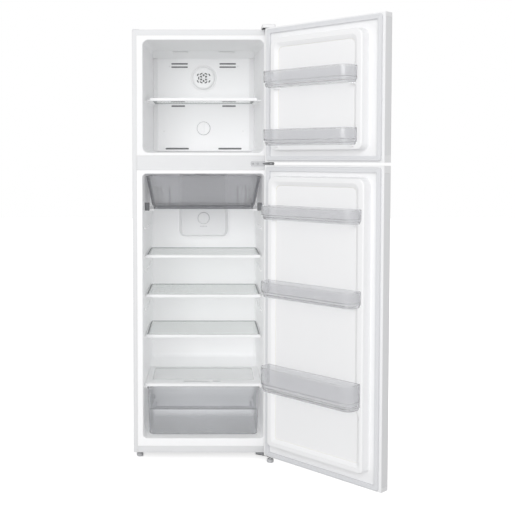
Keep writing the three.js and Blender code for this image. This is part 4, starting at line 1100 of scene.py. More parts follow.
def trim_channel(node, glass_low, glass_high):
    """The trim's section, a channel that grips the glass, carried straight across."""
    low, high = cabinet_box(node)
    lip = 0.0018
    turn = np.linspace(0, math.pi / 2, 5)
    front, back = low[1], high[1]
    nose_y = front + lip * (1 - np.sin(turn))
    under, over = glass_low[2] - JOINT_GAP, glass_high[2] + JOINT_GAP
    section = [*zip(nose_y, high[2] - lip * (1 - np.cos(turn)))]
    section += [*zip(nose_y[::-1], low[2] + lip * (1 - np.cos(turn[::-1])))]
    section += [(back, low[2]), (back, low[2] + 0.002)]
    section += [(front + 0.006, low[2] + 0.0035), (front + 0.006, under - 0.001)]
    section += [(back, under - 0.001), (back, under), (front + 0.003, under), (front + 0.003, over)]
    section += [(back, over), (back, high[2] - 0.0005), (back - 0.0008, high[2])]
    return loft(at_side(np.array([section, section]), np.array([low[0], high[0]])))


def side_strips(low, high):
    """A dark strip on top of the glass along each side."""
    setback, width, foot, tall = 0.0004, 0.0040, 0.0001, 0.0016
    front, back = low[1] + 0.013, high[1] - 0.030
    strips = []
    for side in (-1, 1):
        left, right = sorted((side * (high[0] - setback), side * (high[0] - setback - width)))
        strips.append(rounded_box((left, front, high[2] + foot), (right, back, high[2] + tall), 0.0006,
                                  axis=1))
    return strips


def back_stops(high):
    """The two dark blocks that stand on the back corners of the freezer's shelf."""
    half, foot, tall = 0.005, 0.0001, 0.0090
    front, back = high[1] - 0.016, high[1] - 0.002
    return [rounded_box((x - half, front, high[2] + foot), (x + half, back, high[2] + tall), 0.002, axis=1)
            for x in (0.007 - high[0], high[0] - 0.007)]


class FRIDGE_OT_shelves(bpy.types.Operator):
    """Build the glass shelves with their front trims"""
    bl_idname = "fridge.shelves"
    bl_label = "Shelves"

    def execute(self, context):
        edge = context.scene.fridge_fittings.glass_edge
        for name in ("freezer_shelf", "fridge_shelf_1", "fridge_shelf_2", "fridge_shelf_3"):
            low, high = cabinet_box(f"{name}_glass")
            plate = glass_plate(low, high, 0.006, edge)
            glass = piece(f"{name}_pane", name, [plate], shelf_glass(), in_cabinet,
                          [f"{name}_glass"])
            edge_faces(glass, glass_edge())
            piece(f"{name}_front_trim", name, [trim_channel(f"{name}_trim", low, high)], inner_plastic(),
                  in_cabinet, [f"{name}_trim"], bevel=0.0003)
            strips = side_strips(low, high)
            if name == "freezer_shelf":
                strips += back_stops(high)
            piece(f"{name}_side_strips", name, strips, dark_plastic(), in_cabinet)
        return {"FINISHED"}


# ---------- Air duct and lamp ----------

def duct_cover():
    """The raised duct cover: a front face with flared sides, and a curved underside back to the liner.

    The lower edge is a straight line with a quarter circle at each end. The underside is ruled between
    that edge and the same edge on the back wall.
    """
    face, back = DUCT["face"], FRIDGE["depth"] - 0.0006
    half, back_half, corner = DUCT["half"], DUCT["back_half"], DUCT["corner"]
    soft = 0.003
    plan_x = np.array([-back_half, -half, -half + soft, half - soft, half, back_half])
    plan_y = np.array([back, face + soft, face, face, face + soft, back])
    length = np.concatenate([[0], np.cumsum(np.hypot(np.diff(plan_x), np.diff(plan_y)))])
    length -= length[-1] / 2
    top = FRIDGE["high"] - 0.0006

    def lower_edge(x):
        reach = np.clip(abs(x) - (half - corner), 0, corner)
        return DUCT["low"] + corner - np.sqrt(corner**2 - reach**2)

    def front(u, v):
        x = np.interp(u, length, plan_x)
        y = np.interp(u, length, plan_y)
        share = (top - v) / (top - DUCT["low"])
        return np.stack([x, y, v + share * (lower_edge(x) - DUCT["low"])], axis=-1)

    def under(u, v):
        edge = lower_edge(u)
        share = (v - face) / (back - face)
        sag = 0.008 * share * (1 - (edge - DUCT["low"]) / corner)
        return np.stack([-u * (1 + share * (back_half / half - 1)), v, edge - sag], axis=-1)

    vent_u = np.interp([face + 0.022, face + 0.030], plan_y[3:], length[3:])
    slots = slot_holes(DUCT_TOP_SLOTS)
    slots += [(*vent_u, z, z + 0.024, 0.0035) for z in DUCT_SIDE_VENTS]
    u_lines = np.unique(np.concatenate([np.linspace(length[0], length[-1], 60), length]))
    sheet = holed_sheet(u_lines, np.linspace(DUCT["low"], top, 24), mirrored(slots), front)
    base = holed_sheet(np.linspace(-half, half, 50), np.linspace(face + 0.001, back, 6), [], under)
    return [sheet, base]


class FRIDGE_OT_duct(bpy.types.Operator):
    """Build the air duct cover, the control knob on it and the lamp lens"""
    bl_idname = "fridge.duct"
    bl_label = "Duct and Lamp"

    def execute(self, context):
        sheet = context.scene.fridge_fittings.sheet
        piece("duct_cover_panel", "cabinet", duct_cover(), liner_plastic(), in_cabinet,
              ["air_duct_cover"], sheet=sheet)
        knob, face = "fridge_control_knob", DUCT["face"]
        piece("fridge_knob", knob, knob_parts(knob, face), inner_plastic(), in_cabinet,
              [knob])
        # Dark plates behind the duct's top slots: painted shade.
        piece("duct_shades", "cabinet", painted_slot_shades(DUCT_TOP_SLOTS, face, 0.012, 0.052), dark_plastic(),
              in_cabinet)
        low, high = cabinet_box(knob)
        middle = (low[2] + high[2]) / 2
        half, near, far = 0.0008, face - 0.0004, face + 0.0002
        mark_low, mark_high = middle - 0.0375, middle - 0.0335
        marks = [rounded_box((x - half, near, mark_low), (x + half, far, mark_high), 0.00018, axis=1)
                 for x in np.linspace(-0.012, 0.012, 5)]
        # The scale marks are print; the dark disc round the knob is painted shadow.
        piece("fridge_knob_scale", "cabinet", [*marks, knob_shadow_disc(knob, face)], grey_plastic(), in_cabinet)
        low, high = cabinet_box("lamp_lens")
        rib_half, rib_end = 0.0012, 0.004
        ribs = [rounded_box((x - rib_half, low[1] + rib_end, low[2] + 0.0002),
                            (x + rib_half, high[1] - rib_end, low[2] + 0.0020), 0.0005, axis=1)
                for x in np.linspace(low[0] + 2 * rib_end, high[0] - 2 * rib_end, 9)]
        lens = rounded_box(low + [0, 0, 0.0004], high, 0.002, axis=2)
        piece("lamp_lens_ribbed", "cabinet", [lens, *ribs], clear_smoke(), in_cabinet,
              ["lamp_lens"])
        return {"FINISHED"}


# ---------- Drawers ----------

def chiller_tray():
    """An open tray whose sides lean in towards the bottom and the back.

    Its section goes up the outside from the floor over a low step, out round the rim and down the inside.
    Half the width at height z is a straight line from the floor's to the rim's.
    """
    low, high = cabinet_box("chiller_drawer")
    front, back = low[1] + 0.001, high[1]
    base, top = low[2], high[2]
    wall = BIN_WALL
    levels = [  # inset and rise, up the outside and down the inside
        (0.012, 0.0), (0.007, 0.0006), (0.005, 0.0025), (0.004, 0.005), (0.0035, 0.0135), (0.0, 0.0165),
        (0.0, 0.030), (0.0, 0.127), (-0.0008, 0.1275), (-0.0008, 0.133),
        (wall, 0.133), (wall, 0.030), (wall + 0.0035, 0.0145), (wall + 0.004, wall + 0.005),
        (wall + 0.007, wall + 0.0012), (wall + 0.012, wall),
    ]
    inset, rise = np.array(levels).T
    rise = np.minimum(rise, top - base)
    z = base + rise
    lean = CHILLER["top_half"] - CHILLER["bottom_half"]
    half = CHILLER["bottom_half"] + lean * rise / (top - base) - inset
    outline = round_outline(-half, half, front + inset, back - inset, 0.014, 8)
    taper = CHILLER["taper"] / CHILLER["top_half"]
    outline[..., 0] *= 1 - taper * (outline[..., 1] - front) / (back - front)
    ribs = [rounded_box((x - 0.0035, back - wall - 0.007, base + wall + 0.001),
                        (x + 0.0035, back - wall + 0.0003, base + 0.085), 0.0025, axis=2)
            for reach in (0.198, 0.182, 0.146) for x in (-reach, reach)]
    return [loft(at_height(outline, z)), *ribs]


def crisper_tray():
    """An open tray with a finger scoop across its front.

    Every level is a round-cornered rectangle between the floor's and the rim's. On the front side it is
    pushed back by scoop depth x (1 - height in the scoop), but no further than the scoop's slanted ends
    allow.
    """
    low, high = cabinet_box("crisper_drawer")
    base, top = low[2], high[2]
    wall = 0.0025
    steep = np.linspace(SCOOP["height"] + 0.0004, SCOOP["top"], 9)
    flat = [base + 0.0012, base + 0.004, base + 0.010, base + 0.05, SCOOP["height"] - 0.0004]
    outer_z = np.concatenate([[base], flat, steep, [top - 0.006, top - 0.0055, top]])
    foot_in = np.concatenate([[0.012, 0.006, 0.002, 0, 0, 0], np.zeros(len(steep)), [0]])
    outer_in = np.concatenate([foot_in, [-0.002, -0.002]])
    inner_flat = [base + wall, *(z + wall for z in flat[:-1]), flat[-1] - wall]
    inner_z = np.concatenate([inner_flat, steep - wall, [top]])
    inner_in = foot_in + wall
    z = np.concatenate([outer_z, inner_z[::-1]])
    inset = np.concatenate([outer_in, inner_in[::-1]])
    pushed = np.concatenate([np.zeros(len(outer_z)), np.full(len(inner_z), wall)])
    share = (z - base) / (top - base)
    half = CRISPER["bottom_half"] + (CRISPER["top_half"] - CRISPER["bottom_half"]) * share - inset
    front = CRISPER["front"] + (CRISPER["top_front"] - CRISPER["front"]) * share + inset
    back = CRISPER["back"] + (CRISPER["top_back"] - CRISPER["back"]) * share - inset
    outline = round_outline(-half, half, front, back, 0.014, 8, straight=40)
    height = spread(z + pushed, outline)
    level = (height - SCOOP["height"]) / (SCOOP["top"] - SCOOP["height"])
    in_scoop = (level > 0) & (level < 1)
    slant_width = SCOOP["half"] - SCOOP["inner_half"]
    slant = (SCOOP["half"] + spread(pushed, outline) - abs(outline[..., 0])) / slant_width
    push = SCOOP["depth"] * np.minimum(1 - level, np.clip(slant, 0, 1)) * in_scoop
    on_front = outline[..., 1] < front[:, None] + 0.012
    outline[..., 1] += np.where(on_front, push, 0)
    return loft(at_height(outline, z))


def crisper_cover():
    """The cover's top sheet with its window and slider slot, and the skirt and rails under it."""
    low, high = cabinet_box("crisper_cover_frame")
    band, side = 0.060, 0.024
    window = (low[0] + side, high[0] - side, low[1] + band, high[1] - side, 0.004)
    slot_y, half_slot = SLIDER_SLOT["y"], SLIDER_SLOT["depth"] / 2
    slot = (SLIDER_SLOT["low"], SLIDER_SLOT["high"], slot_y - half_slot, slot_y + half_slot, 0.0046)

    def top(u, v):
        return np.stack([u, v, np.full_like(u, high[2])], axis=-1)

    inset, rail = 0.001, 0.003
    sheet = holed_sheet(np.linspace(low[0] + inset, high[0] - inset, 40),
                        np.linspace(low[1] + inset, high[1] - inset, 24), [window, slot], top)
    skirt = rounded_box(low, (high[0], low[1] + 0.006, high[2] - 0.0006), 0.0018, axis=0)
    rails = [rounded_box((x, low[1] + 0.004, low[2] + 0.002), (x + rail, high[1] - 0.002, high[2] - 0.001),
                         0.001, axis=1) for x in (low[0], high[0] - rail)]
    return sheet, [skirt, *rails]


def scoop_shade_lines():
    """Dark lines along the front and the back edge of the crisper's finger scoop: painted shade where its
    surface folds.
    """
    front = CRISPER["front"] + 0.010
    back = front + SCOOP["depth"]
    height, half, inner_half = SCOOP["height"], SCOOP["half"] - 0.001, SCOOP["inner_half"]
    return [
        rounded_box((-half, front - 0.0006, height - 0.0006), (half, front + 0.0004, height + 0.0008),
                    0.0004, axis=0),
        rounded_box((-inner_half, back - 0.0010, height + 0.0002),
                    (inner_half, back - 0.0002, height + 0.0012), 0.0003, axis=0),
    ]


def chiller_shade_lines():
    """Three dark lines across the low step of the chiller drawer's front: painted shade along the edges of
    its step.
    """
    low = cabinet_box("chiller_drawer")[0]
    half, tall = CHILLER["bottom_half"] - 0.003, 0.0014
    front, back = low[1] + 0.0002, low[1] + 0.0016
    return [rounded_box((-half, front, low[2] + rise), (half, back, low[2] + rise + tall), 0.0005, axis=0)
            for rise in (0.0012, 0.0150, 0.0230)]


def slider_button():
    """The humidity slider: its button over the cover, and the shank in the slot."""
    low, high = cabinet_box("humidity_slider")
    button_tall, shank_half, shank_inset = 0.0047, 0.004, 0.001
    y = SLIDER_SLOT["y"]
    return [
        rounded_box((low[0], low[1], high[2] - button_tall), high, 0.0014, axis=2),
        rounded_box((low[0] + shank_inset, y - shank_half, low[2]),
                    (high[0] - shank_inset, y + shank_half, high[2] - 0.003), 0.0010, axis=2),
    ]


class FRIDGE_OT_drawers(bpy.types.Operator):
    """Build the chiller drawer, the crisper drawer and the crisper cover with its slider"""
    bl_idname = "fridge.drawers"
    bl_label = "Drawers"

    def execute(self, context):
        piece("chiller_tray", "chiller_drawer", chiller_tray(), deep_smoke(), in_cabinet,
              ["chiller_drawer"])
        piece("crisper_tray", "crisper_drawer", [crisper_tray()], crisper_smoke(), in_cabinet,
              ["crisper_drawer"])
        # Painted shade along the scoop's edges.
        piece("crisper_scoop_edges", "crisper_drawer", scoop_shade_lines(), dark_plastic(), in_cabinet)
        # Painted shade along the chiller front's step edges.
        piece("chiller_front_beads", "chiller_drawer", chiller_shade_lines(), dark_plastic(), in_cabinet)
        sheet, rails = crisper_cover()
        piece("crisper_cover_top", "crisper_cover", [sheet], inner_plastic(), in_cabinet,
              ["crisper_cover_frame"], sheet=0.0020)
        piece("crisper_cover_rails", "crisper_cover", rails, inner_plastic(), in_cabinet)
        low, high = cabinet_box("crisper_cover_glass")
        plate = glass_plate(low, high - [0, 0, JOINT_GAP], 0.004, 0.0005)
        glass = piece("crisper_cover_pane", "crisper_cover", [plate], cover_glass(), in_cabinet,
                      ["crisper_cover_glass"])
        edge_faces(glass, glass_edge())
        piece("humidity_slider_button", "humidity_slider", slider_button(), inner_plastic(), in_cabinet,
              ["humidity_slider"])
        return {"FINISHED"}


# ---------- Doors ----------

def door_shell(door):
    """The folded door skin: a C-shaped section with round front edges and hems, carried straight up."""
    settings = bpy.context.scene.fridge_shell
    low, high = door_box(f"{door}_shell")
    steps, radius, hem = settings.arc_steps, settings.door_edge, 0.009
    outer = round_outline(low[0], high[0], low[1], high[1], [[radius, radius, 0.0006, 0.0006]], steps)[0]
    inner = round_outline(low[0] + SKIN, high[0] - SKIN, low[1] + SKIN, high[1] - SKIN,
                          [[radius - SKIN, radius - SKIN, 0.0004, 0.0004]], steps)[0]
    count = steps + 1
    order = np.r_[3 * count:4 * count, 0:3 * count]
    start = [[low[0] + hem, high[1]]]
    end = [[high[0] - hem, high[1]]]
    inner_start = [[low[0] + hem, high[1] - SKIN]]
    inner_end = [[high[0] - hem, high[1] - SKIN]]
    section = np.concatenate([start, outer[order], end, inner_end, inner[order][::-1], inner_start])
    return loft(at_height(np.array([section, section]), np.array([low[2], high[2]])))


def door_cap(door, end, grip):
    """A moulded end cap. Its section across the door is a rounded rectangle, whose front outer corner
    opens into a round finger grip by a smooth step near the free edge.
    """
    settings = bpy.context.scene.fridge_shell
    low, high = door_box(f"{door}_{end}_cap")
    edge, soft = settings.door_edge, 0.0016
    face, inside = (low[2], high[2]) if end == "bottom" else (high[2], low[2])
    sign = 1.0 if end == "bottom" else -1.0
    turn = np.linspace(0, math.pi / 2, 9)
    near = edge * (1 - np.cos(turn))
    x = np.unique(np.round(np.concatenate([low[0] + near, np.linspace(low[0] + edge, high[0] - edge, 90),
                                           high[0] - near]), 6))
    reach = np.clip(np.maximum(low[0] + edge - x, x - (high[0] - edge)), 0, edge)
    front = (low[1] + edge - np.sqrt(edge**2 - reach**2))[:, None]
    grip_start, grip_length, grip_radius, grip_lift = low[0] + 0.034, 0.140, 0.016, 0.006
    opening = smooth_step((x - grip_start) / 0.012) * smooth_step((grip_start + grip_length - x) / 0.012)
    opening = (opening if grip else np.zeros_like(x))[:, None]
    soft_y = front + soft * (1 - np.sin(turn[::-1]))
    soft_z = np.broadcast_to(face + sign * soft * (1 - np.cos(turn[::-1])), soft_y.shape)
    start = math.pi - math.asin(grip_lift / grip_radius)
    sweep = np.linspace(start, 0, len(turn))
    grip_y = front + grip_lift + grip_radius * np.cos(sweep)
    grip_z = np.broadcast_to(face + sign * grip_radius * np.sin(sweep), grip_y.shape)
    corner_y = soft_y + opening * (grip_y - soft_y)
    corner_z = soft_z + opening * (grip_z - soft_z)
    rest_y = np.broadcast_to([high[1], high[1]], (len(x), 2))
    rest_z = np.broadcast_to([face, inside], (len(x), 2))
    y = np.concatenate([corner_y, rest_y, front], axis=1)
    z = np.concatenate([corner_z, rest_z, np.full_like(front, inside)], axis=1)
    return loft(np.stack([np.broadcast_to(x[:, None], y.shape), y, z], axis=-1))


def plug_rings(door, grow, lower):
    """Stations of a door liner's raised middle, from the floor of its recess to the flat border.

    They run over the rim and down the plug's side, as round-cornered rectangles. grow sets them in and
    lower sets them back, for the surface behind the sheet.
    """
    plug = PLUGS[door]
    back = door_box(f"{door}_shell")[1][1] + JOINT_GAP + BORDER_SHEET
    face = back + PLUG_HEIGHT
    rim, slope, depth = RIM["width"], RIM["slope"], RIM["depth"]
    turn = np.linspace(0, math.pi / 2, 7)
    fillet, brow, shoulder, root = 0.005, 0.003, 0.006, 0.004
    inset = np.concatenate([
        rim + slope + fillet * (1 - np.sin(turn)), rim + brow * (1 - np.sin(turn)), [2 * brow],
        -0.001 - shoulder * np.sin(turn), -plug["spread"] - root * (1 - np.cos(turn)) + root,
    ])
    y = np.concatenate([
        face - depth + 0.6 * fillet * (1 - np.cos(turn)), face - 0.6 * brow * np.cos(turn), [face],
        face - shoulder * (1 - np.cos(turn)), back + root * (1 - np.sin(turn)),
    ])
    upright = np.where(inset < 0, plug["rise"] / plug["spread"], 1.0)
    hinge_side = np.where(inset < 0, 0.8, 1.0) * inset
    corners = [plug["low_corner"]] * 2 + [plug["high_corner"]] * 2
    corner = np.maximum(np.array(corners) - 0.3 * inset[:, None], 0.006)
    outline = round_outline(plug["free"] + inset + grow, plug["hinge"] - hinge_side - grow,
                            plug["low"] + upright * inset + grow, plug["high"] - upright * inset - grow,
                            corner, 8, STRAIGHT_POINTS)
    if door == "fridge_door":
        wider = 0.010 * smooth_step((0.318 - outline[..., 1]) / 0.030)
        inner_edge = np.clip((inset - 2 * brow) / (rim - 2 * brow), 0, 1)[:, None]
        on_free_side = outline[..., 0] < plug["free"] + 0.10
        outline[..., 0] -= wider * inner_edge * on_free_side
    return at_depth(outline, y - lower)


def door_liner(door):
    """The formed door liner as one closed loft: the plug, the flat border, and the same one sheet lower."""
    plug = PLUGS[door]
    low, high = door_box(f"{door}_liner")
    back = door_box(f"{door}_shell")[1][1] + JOINT_GAP + BORDER_SHEET
    face = back + PLUG_HEIGHT
    soft = 0.0005
    inset = np.array([soft, 0, 0])
    border = round_outline(low[0] + inset, high[0] - inset, low[2] + inset, high[2] - inset, 0.002, 8,
                           STRAIGHT_POINTS)
    border_rings = at_depth(border, [back, back - soft, back - BORDER_SHEET])
    rings = [plug_rings(door, 0, 0), border_rings, plug_rings(door, WALL, WALL)[::-1]]
    parts = [loft(np.concatenate(rings))]
    lug_half, lug_reach, lug_tall, lug_in = 0.008, 0.012, 0.005, 0.030
    lug_back = face - RIM["depth"] - soft
    for bin_name in DOOR_BINS[door]:
        top = door_box(bin_name)[0][2] - JOINT_GAP
        for x in (plug["hinge"] - lug_in, plug["free"] + lug_in):
            parts.append(rounded_box((x - lug_half, lug_back, top - lug_tall),
                                     (x + lug_half, face + lug_reach, top), 0.0012, axis=1))
    return parts


def door_foam(door):
    """The foam that fills a door: the back of the liner's plug, then levels down to the steel skin."""
    low, high = door_box(f"{door}_foam")
    edge = bpy.context.scene.fridge_shell.door_edge
    turn = np.linspace(0, math.pi / 2, 5)
    back = door_box(f"{door}_shell")[1][1] - SKIN - JOINT_GAP
    inset = np.concatenate([[0.0], edge * (1 - np.cos(turn))])
    y = np.concatenate([[back], low[1] + edge * (1 - np.sin(turn))])
    body = round_outline(low[0] + inset, high[0] - inset, low[2], high[2], 0.002, 8, STRAIGHT_POINTS)
    behind = WALL + JOINT_GAP
    return [loft(np.concatenate([plug_rings(door, behind, behind), at_depth(body, y)]))]


def door_gasket(door):
    """A bellows gasket: a closed section of folds and a rounded magnet strip, carried round the door."""
    low, high = door_box(f"{door}_gasket")
    rise = high[1] - low[1]
    section = np.array([  # inset from the outer edge, and share of the gasket's depth
        (0.0012, 0.0), (0.0026, 0.14), (0.0034, 0.24), (0.0024, 0.36), (0.0004, 0.46), (0.0, 0.60),
        (0.0003, 0.86), (0.0012, 0.97), (0.0026, 1.0), (0.0066, 1.0), (0.0072, 0.93), (0.0080, 0.93),
        (0.0086, 1.0), (0.0142, 1.0), (0.0158, 0.96), (0.0168, 0.84), (0.0170, 0.62), (0.0164, 0.46),
        (0.0144, 0.36), (0.0138, 0.24), (0.0148, 0.12), (0.0160, 0.0),
    ])
    inset = section[:, 0]
    outline = round_outline(low[0] + inset, high[0] - inset, low[2] + inset, high[2] - inset,
                            np.maximum(0.008 - inset * 0.3, 0.002), 6)
    return loft(at_depth(outline, low[1] + section[:, 1] * rise), wrap=True)


class FRIDGE_OT_doors(bpy.types.Operator):
    """Build both doors: skins, end caps, formed liners and gaskets"""
    bl_idname = "fridge.doors"
    bl_label = "Doors"

    def execute(self, context):
        grips = {"freezer_door": "bottom", "fridge_door": "top"}
        for door, grip_end in grips.items():
            piece(f"{door}_skin", door, [door_shell(door)], enamel(), on_door,
                  [f"{door}_shell"])
            for end in ("bottom", "top"):
                cap = door_cap(door, end, end == grip_end)
                piece(f"{door}_{end}_cap_moulded", door, [cap], white_plastic(), on_door,
                      [f"{door}_{end}_cap"])
            piece(f"{door}_liner_formed", door, door_liner(door), liner_plastic(), on_door,
                  [f"{door}_liner"])
            piece(f"{door}_foam_fill", door, door_foam(door), foam(), on_door,
                  [f"{door}_foam"])
            piece(f"{door}_seal", door, [door_gasket(door)], gasket_vinyl(), on_door,
                  [f"{door}_gasket"])
        return {"FINISHED"}


# ---------- Door bins ----------

def bin_tray(name):
    """A door bin: an open tray with round front corners, a stepped lower front and a thick rim.

    Each level of its section is set in from the bin's outline by wall + tuck on the front and half the
    tuck on the ends. The section goes up the outside, over the rim and down the inside.
    """
    low, high = door_box(name)
    tall = high[2] - low[2]
    wall, corner = BIN_WALL, BIN_CORNER
    levels = [  # share of the height, tuck, and rise beyond the share
        (0.0, 0.016, 0.0), (0.0, 0.0115, 0.0006), (0.0, 0.0095, 0.0022), (0.0, 0.0090, 0.0045),
        (0.13, 0.0085, 0.0), (0.15, 0.0050, 0.0), (0.18, 0.0045, 0.0), (0.20, 0.0080, 0.0),
        (0.29, 0.0070, 0.0), (0.31, 0.0012, 0.0), (0.35, 0.0006, 0.0), (0.37, 0.0010, 0.0),
        (0.60, 0.0, 0.0), (1.0, 0.0, -0.0012), (1.0, 0.0, 0.0),
    ]
    share, tuck, extra = np.array(levels).T
    outer_z = low[2] + share * tall + extra
    outer_in = np.zeros(len(tuck))
    outer_in[-1] = 0.0010
    rim_z = high[2] - np.array([0.0045, 0.0030, 0.0008])
    inner_z = np.concatenate([outer_z[:-2] + wall * 0.8, rim_z])
    inner_z[0] = low[2] + wall
    inner_in = np.concatenate([np.full(len(tuck) - 2, wall), [wall, wall + 0.0014, wall + 0.0012]])
    smooth_tuck = np.interp(share, [0.0, 0.13, 0.37, 1.0], [0.016, 0.0095, 0.0015, 0.0])
    inner_tuck = np.concatenate([np.maximum(smooth_tuck, tuck)[:-2], [0.0, 0.0, 0.0]])
    z = np.concatenate([outer_z, inner_z[::-1]])
    inset = np.concatenate([outer_in, inner_in[::-1]])
    tuck = np.concatenate([tuck, inner_tuck[::-1]])
    front_corner = np.maximum(corner - inset - tuck / 2, 0.004)
    back_corner = np.full(len(z), 0.003)
    corners = np.stack([back_corner, back_corner, front_corner, front_corner], axis=1)
    outline = round_outline(low[0] + inset + tuck / 2, high[0] - inset - tuck / 2, low[1] + inset,
                            high[1] - inset - tuck, corners, 10)
    tray = loft(at_height(outline, z))
    flanges = []
    for end, inward in ((low[0], 1), (high[0], -1)):
        left, right = sorted((end + 0.0004 * inward, end + 0.0052 * inward))
        flanges.append(rounded_box((left, low[1] + 0.0003, low[2] + 0.010),
                                   (right, low[1] + 0.0085, high[2] - 0.0006), 0.0010, axis=2))
    return [tray, *flanges]


class FRIDGE_OT_bins(bpy.types.Operator):
    """Build the clear door bins"""
    bl_idname = "fridge.bins"
    bl_label = "Door Bins"

    def execute(self, context):
        for names in DOOR_BINS.values():
            for name in names:
                piece(f"{name}_tray", name, bin_tray(name), clear_smoke(), on_door,
                      [name])
        return {"FINISHED"}


# ---------- Hinges and feet ----------

def hinge_cover():
    """A thin domed cover, open below: round-cornered levels down the inside and up the outside."""
    low, high = cabinet_box("top_hinge_cover")
    wall, dome = 0.0015, 0.004
    turn = np.linspace(0, math.pi / 2, 6)
    inset = dome * (1 - np.cos(turn))
    z = high[2] - dome + dome * np.sin(turn)
    inset = np.concatenate([inset[::-1] + wall, [wall, 0], inset])
    z = np.concatenate([z[::-1] - wall, [low[2], low[2]], z])
    outline = round_outline(low[0] + inset, high[0] - inset, low[1] + inset, high[1] - inset, 0.006, 6)
    return loft(at_height(outline, z))


def levelling_foot(node):
    """A turned foot with a ribbed edge on a threaded stem."""
    low, high = cabinet_box(node)
    centre = (low + high) / 2
    radius, height, stem = (high[0] - low[0]) / 2, 0.013, 0.005
    ribs = np.arange(9)
    profile = [(radius * 0.5, 0.0), (radius - 0.0015, 0.0), (radius - 0.0003, 0.0012)]
    profile += [(radius - 0.0007 * (k % 2), 0.0022 + 0.0010 * k) for k in ribs]
    profile += [(radius - 0.002, height), (stem, height)]
    threads = np.arange(int((high[2] - height) / 0.0008))
    profile += [(stem - 0.0005 * (k % 2), height + 0.0008 * (k + 0.5)) for k in threads]
    profile += [(stem - 0.0008, high[2])]
    return turned(profile, (centre[0], centre[1], 0), axis=2, sides=48)


class FRIDGE_OT_hinges(bpy.types.Operator):
    """Build the top hinge's cover, the hinge screws and the levelling feet"""
    bl_idname = "fridge.hinges"
    bl_label = "Hinges and Feet"

    def execute(self, context):
        piece("hinge_cover_moulded", "cabinet", [hinge_cover()], white_plastic(), in_cabinet,
              ["top_hinge_cover"])
        leaf_end = cabinet_box("middle_hinge")[0][0]
        screws = [screw_head(leaf_end + along, MIDDLE_LEAF["face"], MIDDLE_LEAF["height"])
                  for along in MIDDLE_LEAF["screws"]]
        piece("middle_hinge_screws", "cabinet", screws, zinc(), in_cabinet)
        for side in ("left", "right"):
            node = f"{side}_front_foot"
            piece(f"{side}_foot_turned", node, [levelling_foot(node)], foot_rubber(), in_cabinet,
                  [node])
        return {"FINISHED"}


# ---------- Machine room ----------

def compressor_parts():
    """The welded shell of the compressor, turned, with its seam, mounting plate and terminal cover."""
    low, high = cabinet_box("compressor")
    x, y = -0.040, 0.455
    radius, base, dome = 0.056, low[2], 0.034
    turn = np.linspace(0, math.pi / 2, 10)
    profile = [(radius - inset, base + rise) for inset, rise in (
        (0.020, 0.004), (0.008, 0.008), (0.001, 0.022), (0.001, 0.060), (0.0, 0.061), (0.0, 0.066),
        (0.001, 0.067))]
    profile += [((radius - 0.002) * math.cos(a) + 0.0004, high[2] - dome + dome * math.sin(a))
                for a in turn]
    shell = turned(profile, (x, y, 0), axis=2, sides=64)
    plate = rounded_box((x - 0.095, y - 0.040, base), (x + 0.095, y + 0.040, base + 0.004), 0.0012, axis=2)
    cover = rounded_box((x + radius - 0.006, y - 0.022, base + 0.045),
                        (x + radius + 0.022, y + 0.022, base + 0.095), 0.005, axis=0)
    grommet = [(reach, base + rise) for reach, rise in (
        (0.004, 0.002), (0.011, 0.003), (0.012, 0.008), (0.009, 0.011), (0.004, 0.012))]
    grommets = [turned(grommet, (x + dx, y + dy, 0), axis=2, sides=24)
                for dx in (-0.080, 0.080) for dy in (-0.026, 0.026)]
    return [shell, plate], [cover, *grommets]


def pipe_run(points):
    """A bent copper pipe of 6 mm through the points."""
    return tube(smooth_path(points), 0.003, reference=(0.13, 0.21, 1.0))


def roller_wheel(node):
    """A roller with a round tread and a bore, turned about the X axis."""
    low, high = cabinet_box(node)
    centre = (low + high) / 2
    radius, bore, half = (high[2] - low[2]) / 2, 0.0036, (high[0] - low[0]) / 2
    turn = np.linspace(0, math.pi / 2, 5)
    soft = 0.002
    right = [(radius - soft + soft * math.sin(a), half - soft + soft * math.cos(a)) for a in turn]
    section = np.array([(bore, half), *right, *[(r, -w) for r, w in right[::-1]], (bore, -half)])
    around = np.arange(40) * 2 * math.pi / 40
    rings = np.stack([
        np.broadcast_to(centre[0] + section[:, 1:], (len(section), len(around))),
        centre[1] + section[:, :1] * np.cos(around),
        centre[2] + section[:, :1] * np.sin(around),
    ], axis=-1)
    return loft(rings, wrap=True)


class FRIDGE_OT_machine_room(bpy.types.Operator):
    """Build the compressor with its pipes, and the rear rollers"""
    bl_idname = "fridge.machine_room"
    bl_label = "Machine Room"

    def execute(self, context):
        shell, fittings = compressor_parts()
        piece("compressor_shell", "cabinet", shell, black_paint(), in_cabinet,
              ["compressor"])
        piece("compressor_fittings", "cabinet", fittings, grey_plastic(), in_cabinet)
        piece("refrigerant_pipes", "cabinet", [pipe_run(run) for run in PIPES], copper(), in_cabinet)
        for side in ("left", "right"):
            node = f"rear_roller_{side}"
            piece(f"{node}_wheel", node, [roller_wheel(node)], grey_plastic(), in_cabinet,
                  [node])
        return {"FINISHED"}


# ---------- Carried-over frame pieces ----------

def carried_finishes():
    """Which finish each frame piece that stays in view takes."""
    return {
        "cabinet_foam": foam(), "base_plate": zinc(), "compressor_bar": zinc(), "drip_tray": grey_plastic(),
        "evaporator_coil": fin_aluminium(), "fan_motor": black_paint(), "fan_rotor": grey_plastic(),
        "top_hinge": zinc(), "middle_hinge": zinc(), "bottom_hinge": zinc(),
    }


class FRIDGE_OT_frame_finishes(bpy.types.Operator):
    """Give the frame pieces that stay in view their finishes"""
    bl_idname = "fridge.frame_finishes"
    bl_label = "Frame Finishes"

    def execute(self, context):
        for name, material in carried_finishes().items():
            for material_slot in frame["nodes"][name].material_slots:
                material_slot.material = material
        left = [name for name, node in frame["nodes"].items()
                if not node.hide_render and name not in carried_finishes()]
        if left:
            raise RuntimeError(f"no finish is given for {left}")
        return {"FINISHED"}


# ---------- Stage ----------

